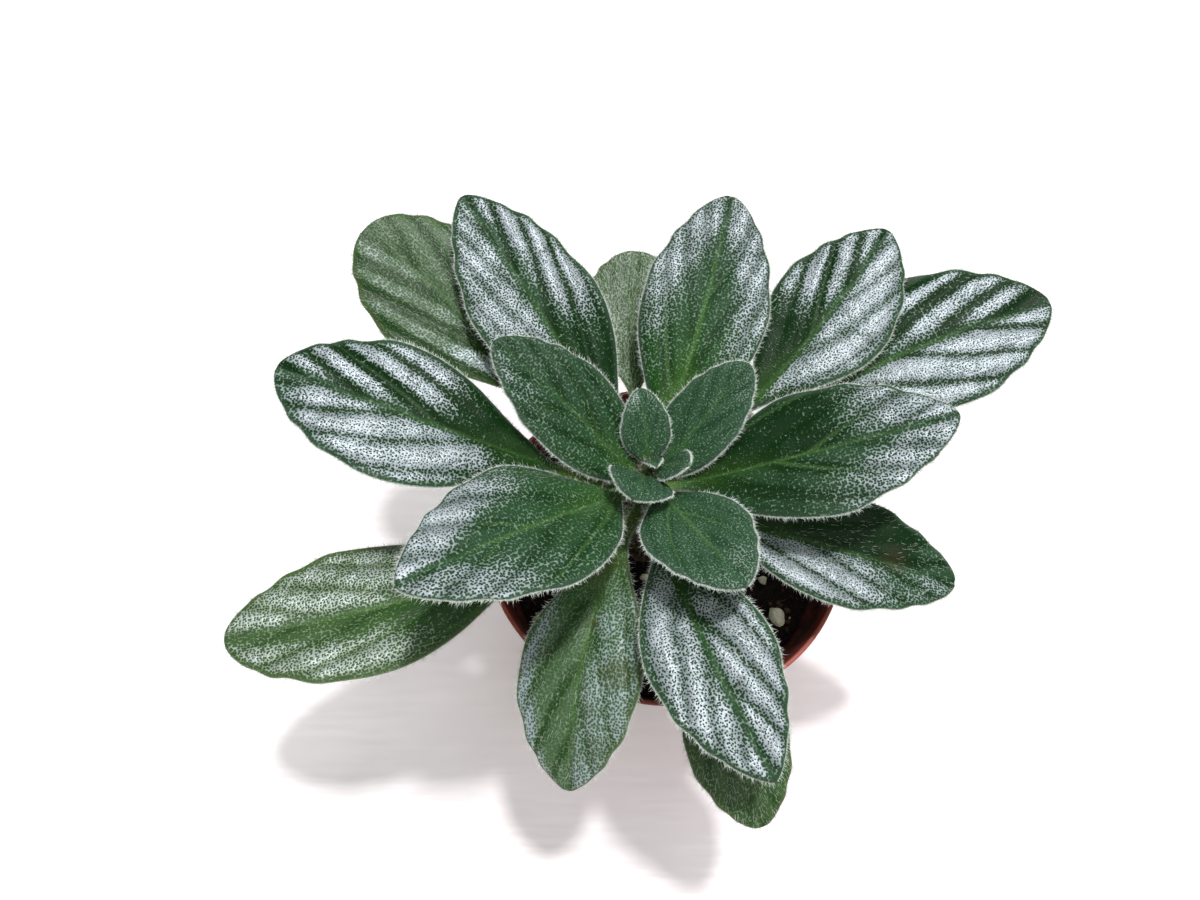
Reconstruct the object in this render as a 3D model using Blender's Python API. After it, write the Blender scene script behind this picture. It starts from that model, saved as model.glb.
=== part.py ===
"""Potted primulina: a rosette of fleshy leaves on a short stem, in soil, in a 9 cm plastic pot.

Lengths are in millimetres and angles in degrees; MM turns a length into metres as a mesh is
made. The pot's axis is the Z axis and its underside is at Z = 0.
"""

import collections
import math

import bmesh
import bpy
from mathutils import Vector, noise

MM = 0.001
GAP = 0.3

POT_HEIGHT = 56.0
POT_RIM_RADIUS = 45.0
POT_BASE_RADIUS = 27.0
POT_WALL = 1.1
POT_FLOOR = 1.6
POT_COLLAR_HEIGHT = 9.0
POT_COLLAR_STEP = 0.7
POT_SIDES = 48
DRAIN_HOLES = 6
DRAIN_HOLE_RADIUS = 3.0
DRAIN_HOLE_RING = 16.0

SOIL_TOP = 44.5
SOIL_ROUGHNESS = 0.9
SOIL_LUMP = 7.0
SOIL_RINGS = 8
SOIL_SIDES = 32

STEM_X = -5.0
STEM_Y = 0.0
STEM_TOP = 86.5
STEM_FOOT_RADIUS = 3.6
STEM_NECK_RADIUS = 2.9
STEM_TIP_RADIUS = 1.2
STEM_NECK_HEIGHT = 80.0
STEM_SEAT_RADIUS = 9.0
STEM_SIDES = 16

STATIONS = 14
ACROSS = 6
DROOP_POWER = 1.4
ROLL_RATE = 1.6
STALK_HALF_WIDTH = 1.6
STALK_HALF_THICKNESS = 1.1
BLADE_HALF_THICKNESS = 0.75
EDGE_SAG = 0.12
TIP_HALF_WIDTH = 0.4
TIP_HALF_THICKNESS = 0.2

LEAF_GREEN = (0.045, 0.105, 0.050, 1.0)
YOUNG_GREEN = (0.060, 0.140, 0.065, 1.0)
OLD_GREEN = (0.075, 0.140, 0.045, 1.0)
STEM_BROWN = (0.110, 0.075, 0.040, 1.0)
SOIL_BROWN = (0.014, 0.009, 0.008, 1.0)
PERLITE_WHITE = (0.720, 0.640, 0.480, 1.0)
POT_RED = (0.220, 0.055, 0.040, 1.0)

Leaf = collections.namedtuple(
    "Leaf", "name turn root rise droop stalk blade width fold bend roll widest base tip colour"
)

# turn: compass direction of the stalk, from +X towards +Y. root: height on the stem; the
# newest leaf, still half folded, stands on the stem's tip.
# rise: slope where the stalk leaves the stem. droop: slope lost by the tip.
# stalk, blade, width: lengths. fold: how far each half tilts up from the midrib.
# bend: turning to the left by the tip. roll: tilt of the blade, left side up.
# widest: where along the blade. base, tip: how sharply the outline closes at each end.
LEAVES = (
    Leaf("leaf_01", 98, 65.0, 31, 15, 23, 41, 26, 9, -14, 2, 0.61, 1.10, 0.48, OLD_GREEN),
    Leaf("leaf_02", 137, 67.5, 27, 3, 25, 66, 34, 10, 9, -12, 0.65, 1.00, 0.49, OLD_GREEN),
    Leaf("leaf_03", 209, 68.0, -2, -8, 27, 69, 33, 12, -17, 2, 0.56, 0.80, 0.54, OLD_GREEN),
    Leaf("leaf_04", -71, 68.5, 7, 41, 27, 46, 23, 8, -3, 0, 0.58, 1.10, 0.56, OLD_GREEN),
    Leaf("leaf_05", 30, 69.5, 22, 13, 34, 69, 35, 10, -18, 13, 0.58, 1.05, 0.60, LEAF_GREEN),
    Leaf("leaf_06", -22, 71.5, 6, 26, 14, 57, 28, 16, 14, 13, 0.48, 1.10, 0.57, LEAF_GREEN),
    Leaf("leaf_07", -117, 71.5, 10, 62, 7, 61, 28, 13, 25, 12, 0.58, 1.10, 0.72, OLD_GREEN),
    Leaf("leaf_08", 182, 73.0, 34, 28, 20, 65, 32, 9, -22, -9, 0.58, 0.90, 0.59, LEAF_GREEN),
    Leaf("leaf_09", 33, 72.8, 24, 8, 24, 61, 30, 7, 23, 7, 0.58, 1.15, 0.66, LEAF_GREEN),
    Leaf("leaf_10", -81, 73.5, 18, 35, 12, 56, 27, 9, 20, 5, 0.53, 0.95, 0.71, LEAF_GREEN),
    Leaf("leaf_11", 125, 74.5, 33, 15, 12, 68, 31, 8, 2, -5, 0.51, 0.85, 0.64, LEAF_GREEN),
    Leaf("leaf_12", 68, 74.9, 32, 13, 8, 64, 31, 9, 8, 7, 0.53, 1.00, 0.58, LEAF_GREEN),
    Leaf("leaf_13", 225, 78.5, 38, 32, 8, 57, 32, 12, -12, -1, 0.48, 0.90, 0.65, LEAF_GREEN),
    Leaf("leaf_14", -3, 75.5, 28, 16, 4, 63, 31, 8, 13, 9, 0.51, 1.00, 0.65, LEAF_GREEN),
    Leaf("leaf_15", 147, 77.5, 42, 19, 1, 44, 24, 12, 2, -2, 0.46, 0.60, 0.58, LEAF_GREEN),
    Leaf("leaf_16", -68, 80.5, 35, 30, 3, 35, 23, 12, 10, 2, 0.51, 0.95, 0.56, YOUNG_GREEN),
    Leaf("leaf_17", 40, 77.5, 39, 17, 1, 32, 18, 12, 7, 0, 0.46, 0.60, 0.53, YOUNG_GREEN),
    Leaf("leaf_18", 92, 80.0, 50, 32, 1, 17, 12, 14, 9, 0, 0.42, 0.80, 0.57, YOUNG_GREEN),
    Leaf("leaf_19", -108, 84.5, 56, 44, 1, 14, 15, 14, 1, -11, 0.54, 0.90, 0.50, YOUNG_GREEN),
    Leaf("leaf_20", -40, 86.0, 56, 18, 1, 11, 9, 10, 4, 4, 0.56, 1.00, 0.60, YOUNG_GREEN),
    Leaf("leaf_21", -75, 87.1, 55, 20, 1, 5, 5, 32, 0, 0, 0.50, 0.80, 0.55, YOUNG_GREEN),
)

Grain = collections.namedtuple("Grain", "name x y size_x size_y size_z turn")

GRAINS = (
    Grain("perlite_1", 28.0, -19.7, 4.0, 5.4, 3.4, 20),
    Grain("perlite_2", 25.7, -9.4, 2.6, 2.2, 1.8, 50),
    Grain("perlite_3", -32.0, -20.0, 2.4, 1.8, 1.6, 10),
    Grain("perlite_4", -4.5, -8.5, 2.2, 2.8, 1.8, 75),
)


def clear_scene():
    for thing in list(bpy.data.objects):
        bpy.data.objects.remove(thing)


def plain_material(name, colour, roughness):
    material = bpy.data.materials.new(name)
    material.use_nodes = True
    shader = material.node_tree.nodes["Principled BSDF"]
    shader.inputs["Base Color"].default_value = colour
    shader.inputs["Roughness"].default_value = roughness
    shader.inputs["Metallic"].default_value = 0.0
    material.diffuse_color = colour
    return material


def add_object(name, mesh_builder, material, parent=None):
    """Makes an object from a bmesh, shaded smooth apart from its sharp edges."""
    bmesh.ops.recalc_face_normals(mesh_builder, faces=mesh_builder.faces)
    mesh = bpy.data.meshes.new(name)
    mesh_builder.to_mesh(mesh)
    mesh_builder.free()
    mesh.shade_smooth()
    mesh.set_sharp_from_angle(angle=math.radians(40))
    mesh.materials.append(material)
    thing = bpy.data.objects.new(name, mesh)
    bpy.context.scene.collection.objects.link(thing)
    thing.parent = parent
    return thing


def turned_solid(profile, sides):
    """A closed profile of (radius, height) points, spun about the Z axis."""
    builder = bmesh.new()
    points = [builder.verts.new((radius * MM, 0.0, height * MM)) for radius, height in profile]
    edges = [builder.edges.new((a, b)) for a, b in zip(points, points[1:])]
    bmesh.ops.spin(
        builder,
        geom=points + edges,
        cent=(0.0, 0.0, 0.0),
        axis=(0.0, 0.0, 1.0),
        angle=math.tau,
        steps=sides,
        use_merge=True,
    )
    bmesh.ops.remove_doubles(builder, verts=builder.verts, dist=0.01 * MM)
    return builder


def pot_radius(height):
    """Outside radius of the pot's plain tapered wall."""
    return POT_BASE_RADIUS + (POT_RIM_RADIUS - POT_BASE_RADIUS) * height / POT_HEIGHT


def pot_inner_radius(height):
    return pot_radius(height) - POT_WALL


def drain_hole_cutter():
    builder = bmesh.new()
    for number in range(DRAIN_HOLES):
        angle = math.tau * number / DRAIN_HOLES
        made = bmesh.ops.create_cone(
            builder,
            cap_ends=True,
            segments=16,
            radius1=DRAIN_HOLE_RADIUS * MM,
            radius2=DRAIN_HOLE_RADIUS * MM,
            depth=4 * POT_FLOOR * MM,
        )
        spot = (DRAIN_HOLE_RING * math.cos(angle) * MM, DRAIN_HOLE_RING * math.sin(angle) * MM, 0.0)
        bmesh.ops.translate(builder, verts=made["verts"], vec=spot)
    cutter = add_object("drain_hole_cutter", builder, None)
    cutter.hide_render = True
    cutter.display_type = "WIRE"
    return cutter


def add_pot():
    collar_foot = POT_HEIGHT - POT_COLLAR_HEIGHT
    step = POT_COLLAR_STEP
    profile = (
        (0.0, 0.0),
        (POT_BASE_RADIUS, 0.0),
        (pot_radius(collar_foot) - step, collar_foot),
        (pot_radius(collar_foot), collar_foot + step),
        (POT_RIM_RADIUS, POT_HEIGHT - 0.3),
        (POT_RIM_RADIUS - 0.3, POT_HEIGHT),
        (POT_RIM_RADIUS - POT_WALL + 0.3, POT_HEIGHT),
        (POT_RIM_RADIUS - POT_WALL, POT_HEIGHT - 0.3),
        (pot_inner_radius(collar_foot) - step, collar_foot - step),
        (pot_inner_radius(POT_FLOOR) - 0.4, POT_FLOOR),
        (0.0, POT_FLOOR),
    )
    pot = add_object("pot", turned_solid(profile, POT_SIDES), plain_material("pot_plastic", POT_RED, 0.45))
    holes = pot.modifiers.new("drain_holes", "BOOLEAN")
    holes.operation = "DIFFERENCE"
    holes.object = drain_hole_cutter()
    return pot


def soil_height(x, y):
    """Height of the uneven soil surface; it is level around the stem."""
    rough = noise.noise(Vector((x / SOIL_LUMP, y / SOIL_LUMP, 3.7)))
    from_stem = math.hypot(x - STEM_X, y - STEM_Y)
    level = min(max(from_stem / STEM_SEAT_RADIUS - 1.0, 0.0), 1.0)
    return SOIL_TOP + SOIL_ROUGHNESS * rough * level


def add_soil():
    foot = POT_FLOOR + GAP
    clear = POT_COLLAR_STEP + 2 * GAP
    foot_radius = pot_inner_radius(foot) - clear
    top_radius = pot_inner_radius(SOIL_TOP) - clear
    rings = [(top_radius * ring / SOIL_RINGS, SOIL_TOP) for ring in range(SOIL_RINGS, -1, -1)]
    profile = [(0.0, foot), (foot_radius, foot), (top_radius, SOIL_TOP - 1.5)] + rings
    builder = turned_solid(profile, SOIL_SIDES)
    for point in builder.verts:
        if point.co.z > (SOIL_TOP - 0.5) * MM:
            point.co.z = soil_height(point.co.x / MM, point.co.y / MM) * MM
    return add_object("soil", builder, plain_material("potting_soil", SOIL_BROWN, 0.95))


def stem_radius(height):
    if height < STEM_NECK_HEIGHT:
        part = (height - SOIL_TOP) / (STEM_NECK_HEIGHT - SOIL_TOP)
        return STEM_FOOT_RADIUS + (STEM_NECK_RADIUS - STEM_FOOT_RADIUS) * part
    part = (height - STEM_NECK_HEIGHT) / (STEM_TOP - STEM_NECK_HEIGHT)
    return STEM_NECK_RADIUS + (STEM_TIP_RADIUS - STEM_NECK_RADIUS) * min(part, 1.0)


def add_stem(rosette):
    foot = SOIL_TOP + GAP
    heights = (foot, 55.0, 65.0, STEM_NECK_HEIGHT, 84.0, STEM_TOP - 0.5)
    side = [(stem_radius(height), height) for height in heights]
    profile = [(0.0, foot)] + side + [(0.5 * STEM_TIP_RADIUS, STEM_TOP), (0.0, STEM_TOP)]
    builder = turned_solid(profile, STEM_SIDES)
    return add_object("stem", builder, plain_material("stem_bark", STEM_BROWN, 0.8), rosette)


def ease(part):
    """Stations along a leaf, closer together towards the blunt tip."""
    return 0.3 * part + 0.7 * math.sin(0.5 * math.pi * part)


def blade_half_width(leaf, along):
    """Half width at a fraction along the blade, 0 at its base and 1 at its tip."""
    if along <= 0.0 or along >= 1.0:
        return 0.0
    skew = math.log(0.5) / math.log(leaf.widest)
    sharpness = leaf.base + (leaf.tip - leaf.base) * along
    return 0.5 * leaf.width * math.sin(math.pi * along**skew) ** sharpness


def leaf_direction(leaf, part):
    """Unit vector along the midrib, for a stalk that starts out along +X."""
    slope = math.radians(leaf.rise - leaf.droop * part**DROOP_POWER)
    heading = math.radians(leaf.bend * part)
    flat = math.cos(slope)
    return Vector((flat * math.cos(heading), flat * math.sin(heading), math.sin(slope)))


def stalk_half_width(leaf):
    return min(STALK_HALF_WIDTH, 0.3 + 0.07 * leaf.width)


def leaf_stations(leaf):
    """(centre, side, up, half width, half thickness) of each cross-section, root to tip."""
    length = leaf.stalk + leaf.blade
    fractions = [ease(number / STATIONS) for number in range(STATIONS + 1)]
    centre = Vector((0.0, 0.0, 0.0))
    before = 0.0
    stations = []
    for part in fractions:
        centre = centre + leaf_direction(leaf, 0.5 * (before + part)) * (part - before) * length
        before = part
        ahead = leaf_direction(leaf, part)
        level_side = Vector((-ahead.y, ahead.x, 0.0)).normalized()
        roll = math.radians(leaf.roll) * min(part * ROLL_RATE, 1.0)
        side = level_side * math.cos(roll) + ahead.cross(level_side) * math.sin(roll)
        up = ahead.cross(side)
        stalk = stalk_half_width(leaf) * (1.0 - part)
        blade = blade_half_width(leaf, (part * length - leaf.stalk) / leaf.blade)
        half_width = math.sqrt(blade**2 + stalk**2 + TIP_HALF_WIDTH**2)
        thinning = min(half_width / STALK_HALF_WIDTH, 1.0)
        thick = STALK_HALF_THICKNESS + (BLADE_HALF_THICKNESS - STALK_HALF_THICKNESS) * min(2 * part, 1.0)
        thickness = max(thick * thinning, TIP_HALF_THICKNESS)
        stations.append((centre, side, up, half_width, thickness))
    return stations


def leaf_ring(leaf, station):
    """Points round one cross-section: over the top from left to right, and back underneath."""
    centre, side, up, half_width, thickness = station
    fold = math.radians(leaf.fold)
    ring = []
    for number in range(2 * ACROSS):
        across = 1.0 - 2.0 * min(number, 2 * ACROSS - number) / ACROSS
        height = half_width * (abs(across) * math.sin(fold) - EDGE_SAG * across**2)
        face = thickness * math.sqrt(1.0 - 0.9 * across**2) if abs(across) < 1.0 else 0.0
        offset = height + (face if number < ACROSS else -face)
        ring.append(centre + side * across * half_width * math.cos(fold) + up * offset)
    return ring


def root_distance(leaf):
    """Distance of the stalk's foot from the stem's axis, which leaves GAP between them."""
    if leaf.root > STEM_TOP:
        return 0.5 * STEM_TIP_RADIUS
    rise = math.radians(leaf.rise)
    thickness = STALK_HALF_THICKNESS * min(stalk_half_width(leaf) / STALK_HALF_WIDTH, 1.0)
    underside = leaf.root - thickness * math.cos(rise)
    return stem_radius(underside) + GAP + thickness * abs(math.sin(rise))


def add_leaf(leaf, rosette):
    builder = bmesh.new()
    rings = []
    for station in leaf_stations(leaf):
        rings.append([builder.verts.new(point * MM) for point in leaf_ring(leaf, station)])
    for near, far in zip(rings, rings[1:]):
        for number in range(2 * ACROSS):
            after = (number + 1) % (2 * ACROSS)
            builder.faces.new((near[number], near[after], far[after], far[number]))
    builder.faces.new(rings[0])
    builder.faces.new(rings[-1])
    thing = add_object(leaf.name, builder, plain_material(leaf.name, leaf.colour, 0.42), rosette)
    turn = math.radians(leaf.turn)
    distance = root_distance(leaf)
    thing.location = Vector((distance * math.cos(turn), distance * math.sin(turn), leaf.root)) * MM
    thing.rotation_euler = (0.0, 0.0, turn)
    return thing


def add_grain(grain):
    """One angular grain of perlite, lying on the soil."""
    builder = bmesh.new()
    bmesh.ops.create_icosphere(builder, subdivisions=2, radius=0.5)
    for point in builder.verts:
        lumps = noise.noise(point.co * 3.0 + Vector((grain.x, grain.y, 0.0)))
        point.co *= 1.0 + 0.25 * lumps
        point.co = Vector((point.co.x * grain.size_x, point.co.y * grain.size_y, point.co.z * grain.size_z)) * MM
    lowest = min(point.co.z for point in builder.verts)
    thing = add_object(grain.name, builder, plain_material(grain.name, PERLITE_WHITE, 0.85))
    thing.location = (grain.x * MM, grain.y * MM, (soil_height(grain.x, grain.y) + GAP) * MM - lowest)
    thing.rotation_euler = (0.0, 0.0, math.radians(grain.turn))
    return thing


def main():
    clear_scene()
    add_pot()
    add_soil()
    rosette = bpy.data.objects.new("rosette", None)
    rosette.location = (STEM_X * MM, STEM_Y * MM, 0.0)
    bpy.context.scene.collection.objects.link(rosette)
    add_stem(rosette)
    for leaf in LEAVES:
        add_leaf(leaf, rosette)
    for grain in GRAINS:
        add_grain(grain)


main()
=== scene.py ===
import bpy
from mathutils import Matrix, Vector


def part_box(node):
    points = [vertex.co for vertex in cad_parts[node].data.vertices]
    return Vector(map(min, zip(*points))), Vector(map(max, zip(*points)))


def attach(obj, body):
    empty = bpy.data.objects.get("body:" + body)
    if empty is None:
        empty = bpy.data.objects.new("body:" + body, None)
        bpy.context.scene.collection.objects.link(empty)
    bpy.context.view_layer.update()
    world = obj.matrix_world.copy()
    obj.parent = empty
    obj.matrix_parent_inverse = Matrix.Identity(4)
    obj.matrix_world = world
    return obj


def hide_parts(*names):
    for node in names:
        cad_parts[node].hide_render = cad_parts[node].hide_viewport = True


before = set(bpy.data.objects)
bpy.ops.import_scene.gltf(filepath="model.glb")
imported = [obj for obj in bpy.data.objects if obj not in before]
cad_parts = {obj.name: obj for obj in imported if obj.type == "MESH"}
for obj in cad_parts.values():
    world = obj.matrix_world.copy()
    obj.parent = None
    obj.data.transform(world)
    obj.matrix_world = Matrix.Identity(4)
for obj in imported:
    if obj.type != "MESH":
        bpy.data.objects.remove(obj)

"""Looks of the potted primulina: quilted, hairy leaves, a hairy stem, soil, perlite and a thin plastic pot.

Lengths are in millimetres and angles in degrees until a mesh is made; MM turns a length into metres.
Each leaf follows the same formula as its CAD solid, with veins, quilting and hairs added.
"""

import collections
import math

import bpy
import numpy as np
from mathutils import Vector, noise

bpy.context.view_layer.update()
MM = 0.001

# ---------------------------------------------------------------- sizes shared with the CAD model

POT_HEIGHT = 56.0
POT_RIM_RADIUS = 45.0
POT_BASE_RADIUS = 27.0
POT_WALL = 1.1
POT_FLOOR = 1.6
POT_COLLAR_FOOT = 47.0
POT_COLLAR_STEP = 0.7
DRAIN_HOLES = 6
DRAIN_HOLE_RADIUS = 3.0
DRAIN_HOLE_RING = 16.0

SOIL_TOP = 44.5
SOIL_FOOT = 1.9
SOIL_ROUGHNESS = 0.9
SOIL_LUMP = 7.0

STEM_X = -5.0
STEM_Y = 0.0
STEM_TOP = 86.5
STEM_FOOT_RADIUS = 3.6
STEM_NECK_RADIUS = 2.9
STEM_TIP_RADIUS = 1.2
STEM_NECK_HEIGHT = 80.0
STEM_SEAT_RADIUS = 9.0
STEM_GAP = 0.3

DROOP_POWER = 1.4
ROLL_RATE = 1.6
STALK_HALF_WIDTH = 1.6
STALK_HALF_THICKNESS = 1.1
BLADE_HALF_THICKNESS = 0.75
EDGE_SAG = 0.12
TIP_HALF_WIDTH = 0.4
TIP_HALF_THICKNESS = 0.2

Leaf = collections.namedtuple(
    "Leaf", "name turn root rise droop stalk blade width fold bend roll widest base tip age"
)

# turn: compass direction of the stalk. root: height on the stem. rise: slope at the stem.
# droop: slope lost by the tip. stalk, blade, width: lengths. fold: tilt of each half.
# bend: turning to the left by the tip. roll: tilt of the blade, left side up.
# widest: where along the blade. base, tip: how sharply the outline closes at each end.
LEAVES = (
    Leaf("leaf_01", 98, 65.0, 31, 15, 23, 41, 26, 9, -14, 2, 0.61, 1.10, 0.48, "old"),
    Leaf("leaf_02", 137, 67.5, 27, 3, 25, 66, 34, 10, 9, -12, 0.65, 1.00, 0.49, "old"),
    Leaf("leaf_03", 209, 68.0, -2, -8, 27, 69, 33, 12, -17, 2, 0.56, 0.80, 0.54, "old"),
    Leaf("leaf_04", -71, 68.5, 7, 41, 27, 46, 23, 8, -3, 0, 0.58, 1.10, 0.56, "old"),
    Leaf("leaf_05", 30, 69.5, 22, 13, 34, 69, 35, 10, -18, 13, 0.58, 1.05, 0.60, "mature"),
    Leaf("leaf_06", -22, 71.5, 6, 26, 14, 57, 28, 16, 14, 13, 0.48, 1.10, 0.57, "mature"),
    Leaf("leaf_07", -117, 71.5, 10, 62, 7, 61, 28, 13, 25, 12, 0.58, 1.10, 0.72, "old"),
    Leaf("leaf_08", 182, 73.0, 34, 28, 20, 65, 32, 9, -22, -9, 0.58, 0.90, 0.59, "mature"),
    Leaf("leaf_09", 33, 72.8, 24, 8, 24, 61, 30, 7, 23, 7, 0.58, 1.15, 0.66, "mature"),
    Leaf("leaf_10", -81, 73.5, 18, 35, 12, 56, 27, 9, 20, 5, 0.53, 0.95, 0.71, "mature"),
    Leaf("leaf_11", 125, 74.5, 33, 15, 12, 68, 31, 8, 2, -5, 0.51, 0.85, 0.64, "mature"),
    Leaf("leaf_12", 68, 74.9, 32, 13, 8, 64, 31, 9, 8, 7, 0.53, 1.00, 0.58, "mature"),
    Leaf("leaf_13", 225, 78.5, 38, 32, 8, 57, 32, 12, -12, -1, 0.48, 0.90, 0.65, "mature"),
    Leaf("leaf_14", -3, 75.5, 28, 16, 4, 63, 31, 8, 13, 9, 0.51, 1.00, 0.65, "mature"),
    Leaf("leaf_15", 147, 77.5, 42, 19, 1, 44, 24, 12, 2, -2, 0.46, 0.60, 0.58, "mature"),
    Leaf("leaf_16", -68, 80.5, 35, 30, 3, 35, 23, 12, 10, 2, 0.51, 0.95, 0.56, "young"),
    Leaf("leaf_17", 40, 77.5, 39, 17, 1, 32, 18, 12, 7, 0, 0.46, 0.60, 0.53, "young"),
    Leaf("leaf_18", 92, 80.0, 50, 32, 1, 17, 12, 14, 9, 0, 0.42, 0.80, 0.57, "young"),
    Leaf("leaf_19", -108, 84.5, 56, 44, 1, 14, 15, 14, 1, -11, 0.54, 0.90, 0.50, "young"),
    Leaf("leaf_20", -40, 86.0, 56, 18, 1, 11, 9, 10, 4, 4, 0.56, 1.00, 0.60, "young"),
    Leaf("leaf_21", -75, 87.1, 55, 20, 1, 5, 5, 32, 0, 0, 0.50, 0.80, 0.55, "young"),
)

# ---------------------------------------------------------------- how each leaf differs

# left, right: height of the quilting of each half. slant: how steeply the side veins run to the tip.
# veins: how plainly they show as pale lines. pale: how far the stalk's yellow-green spreads.
# gloss: shine of the green. fuzz: standing hairs, and lying: long combed hairs, to the square millimetre.
Look = collections.namedtuple("Look", "left right slant veins pale gloss fuzz lying")
LOOKS = {
    "leaf_01": Look(0.15, 0.15, 1.0, 0.1, 0.3, 0.1, 0.5, 3.6),
    "leaf_02": Look(0.32, 0.32, 1.1, 0.3, 0.4, 0.7, 0.35, 0.6),
    "leaf_03": Look(0.30, 0.35, 1.2, 0.4, 0.8, 0.3, 0.3, 0.1),
    "leaf_04": Look(0.25, 0.25, 1.0, 0.2, 0.3, 0.4, 0.3, 0.8),
    "leaf_05": Look(0.65, 0.50, 1.1, 0.1, 0.5, 0.4, 0.25, 0.0),
    "leaf_06": Look(0.40, 0.40, 1.2, 0.2, 0.3, 0.4, 0.25, 0.3),
    "leaf_07": Look(0.50, 0.40, 1.1, 0.4, 0.7, 1.0, 0.4, 0.3),
    "leaf_08": Look(0.50, 0.60, 1.2, 0.3, 0.2, 0.4, 0.3, 0.0),
    "leaf_09": Look(0.60, 0.35, 1.1, 0.3, 0.4, 0.3, 0.3, 0.0),
    "leaf_10": Look(0.50, 0.32, 1.15, 0.1, 0.3, 0.4, 0.3, 0.0),
    "leaf_11": Look(0.30, 0.55, 1.5, 0.1, 0.4, 0.3, 0.3, 0.0),
    "leaf_12": Look(0.45, 0.45, 1.2, 0.8, 1.0, 0.2, 0.5, 0.0),
    "leaf_13": Look(0.40, 0.40, 1.0, 0.7, 0.5, 0.1, 0.75, 0.0),
    "leaf_14": Look(0.55, 0.40, 1.1, 0.6, 0.3, 0.2, 0.7, 0.0),
    "leaf_15": Look(0.35, 0.35, 1.1, 0.3, 0.4, 0.1, 0.8, 0.0),
    "leaf_16": Look(0.25, 0.25, 1.0, 0.8, 0.3, 0.1, 0.9, 0.0),
    "leaf_17": Look(0.25, 0.25, 1.0, 0.3, 0.3, 0.1, 0.9, 0.0),
    "leaf_18": Look(0.12, 0.12, 1.0, 0.1, 0.3, 0.1, 1.1, 0.0),
    "leaf_19": Look(0.12, 0.12, 1.0, 0.2, 0.3, 0.1, 1.1, 0.0),
    "leaf_20": Look(0.10, 0.10, 1.0, 0.1, 0.6, 0.1, 1.1, 0.0),
    "leaf_21": Look(0.05, 0.05, 1.0, 0.0, 0.9, 0.1, 1.1, 0.0),
}

# Painted sheen of one half of a blade: silver paint that stands in for the lamps' highlight. Its strength,
# where along the blade it starts and ends, the half width of the green valleys at the side veins, as a
# share of the space between two veins, how far from the midrib it starts, as a share of the half, and how
# dark the painted shade of the green near the stalk is. With a valley below zero it runs unbroken over
# the veins, and with an end past TO_TIP round the tip.
TO_TIP = 1.1
PaintedSheen = collections.namedtuple("PaintedSheen", "strength start end valley inner deep")
MATTE = PaintedSheen(0.0, 0.5, 1.0, 0.0, 0.0, 0.2)
# The left half and the right half of each leaf that isn't matte all over.
PAINTED_SHEEN = {
    "leaf_01": (PaintedSheen(0.24, -0.2, 1.1, -0.1, 0.0, 0.2), PaintedSheen(0.24, -0.2, 1.1, -0.1, 0.0, 0.2)),
    "leaf_02": (PaintedSheen(0.80, 0.08, 0.52, 0.22, 0.0, 0.2), PaintedSheen(0.25, 0.1, 0.5, 0.1, 0.1, 0.3)),
    "leaf_03": (PaintedSheen(0.72, 0.34, 1.0, -0.02, 0.4, 0.6), PaintedSheen(0.65, 0.28, 1.04, -0.06, 0.06, 0.6)),
    "leaf_05": (PaintedSheen(0.87, 0.18, 0.97, 0.33, 0.06, 1.0), PaintedSheen(0.92, 0.06, 1.02, 0.08, 0.0, 0.6)),
    "leaf_06": (PaintedSheen(0.05, 0.7, 0.95, 0.1, 0.2, 1.0), PaintedSheen(0.93, 0.08, 0.68, 0.05, 0.06, 0.5)),
    "leaf_07": (PaintedSheen(0.40, 0.05, 1.15, -0.02, 0.1, 0.0), PaintedSheen(0.80, 0.32, 0.96, 0.05, 0.72, 0.1)),
    "leaf_08": (PaintedSheen(0.84, 0.16, 0.93, 0.05, 0.0, 1.0), PaintedSheen(0.87, 0.32, 1.0, 0.22, 0.12, 1.0)),
    "leaf_09": (PaintedSheen(0.82, 0.42, 1.08, 0.15, 0.1, 1.0), PaintedSheen(0.84, 0.12, 1.06, -0.02, 0.0, 0.4)),
    "leaf_10": (PaintedSheen(0.86, 0.24, 1.04, 0.04, 0.02, 0.4), PaintedSheen(0.78, 0.12, 1.06, -0.04, 0.06, 0.1)),
    "leaf_11": (PaintedSheen(0.69, 0.08, 0.98, -0.04, 0.08, 0.3), PaintedSheen(0.88, 0.34, 0.98, 0.1, 0.2, 0.7)),
    "leaf_12": (PaintedSheen(0.66, 0.24, 1.25, -0.1, 0.48, 0.2), PaintedSheen(0.67, 0.22, 1.25, -0.1, 0.48, 0.2)),
    "leaf_13": (PaintedSheen(0.60, 0.42, 1.25, -0.08, 0.5, 0.1), PaintedSheen(0.86, 0.32, 1.25, -0.08, 0.5, 0.1)),
    "leaf_14": (PaintedSheen(0.79, 0.51, 1.25, 0.0, 0.1, 0.8), PaintedSheen(0.70, 0.425, 1.25, -0.06, 0.3, 0.5)),
    "leaf_15": (PaintedSheen(0.35, 0.6, 0.98, 0.0, 0.3, 0.1), MATTE),
    "leaf_16": (PaintedSheen(0.50, 0.7, 1.25, -0.1, 0.2, 0.1), PaintedSheen(0.30, 0.75, 1.25, -0.1, 0.2, 0.1)),
    "leaf_17": (MATTE, PaintedSheen(0.3, 0.72, 0.98, 0.0, 0.2, 0.1)),
    "leaf_18": (PaintedSheen(0.75, 0.62, 1.25, -0.1, 0.0, 0.1), PaintedSheen(0.60, 0.66, 1.25, -0.1, 0.0, 0.1)),
}

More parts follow.
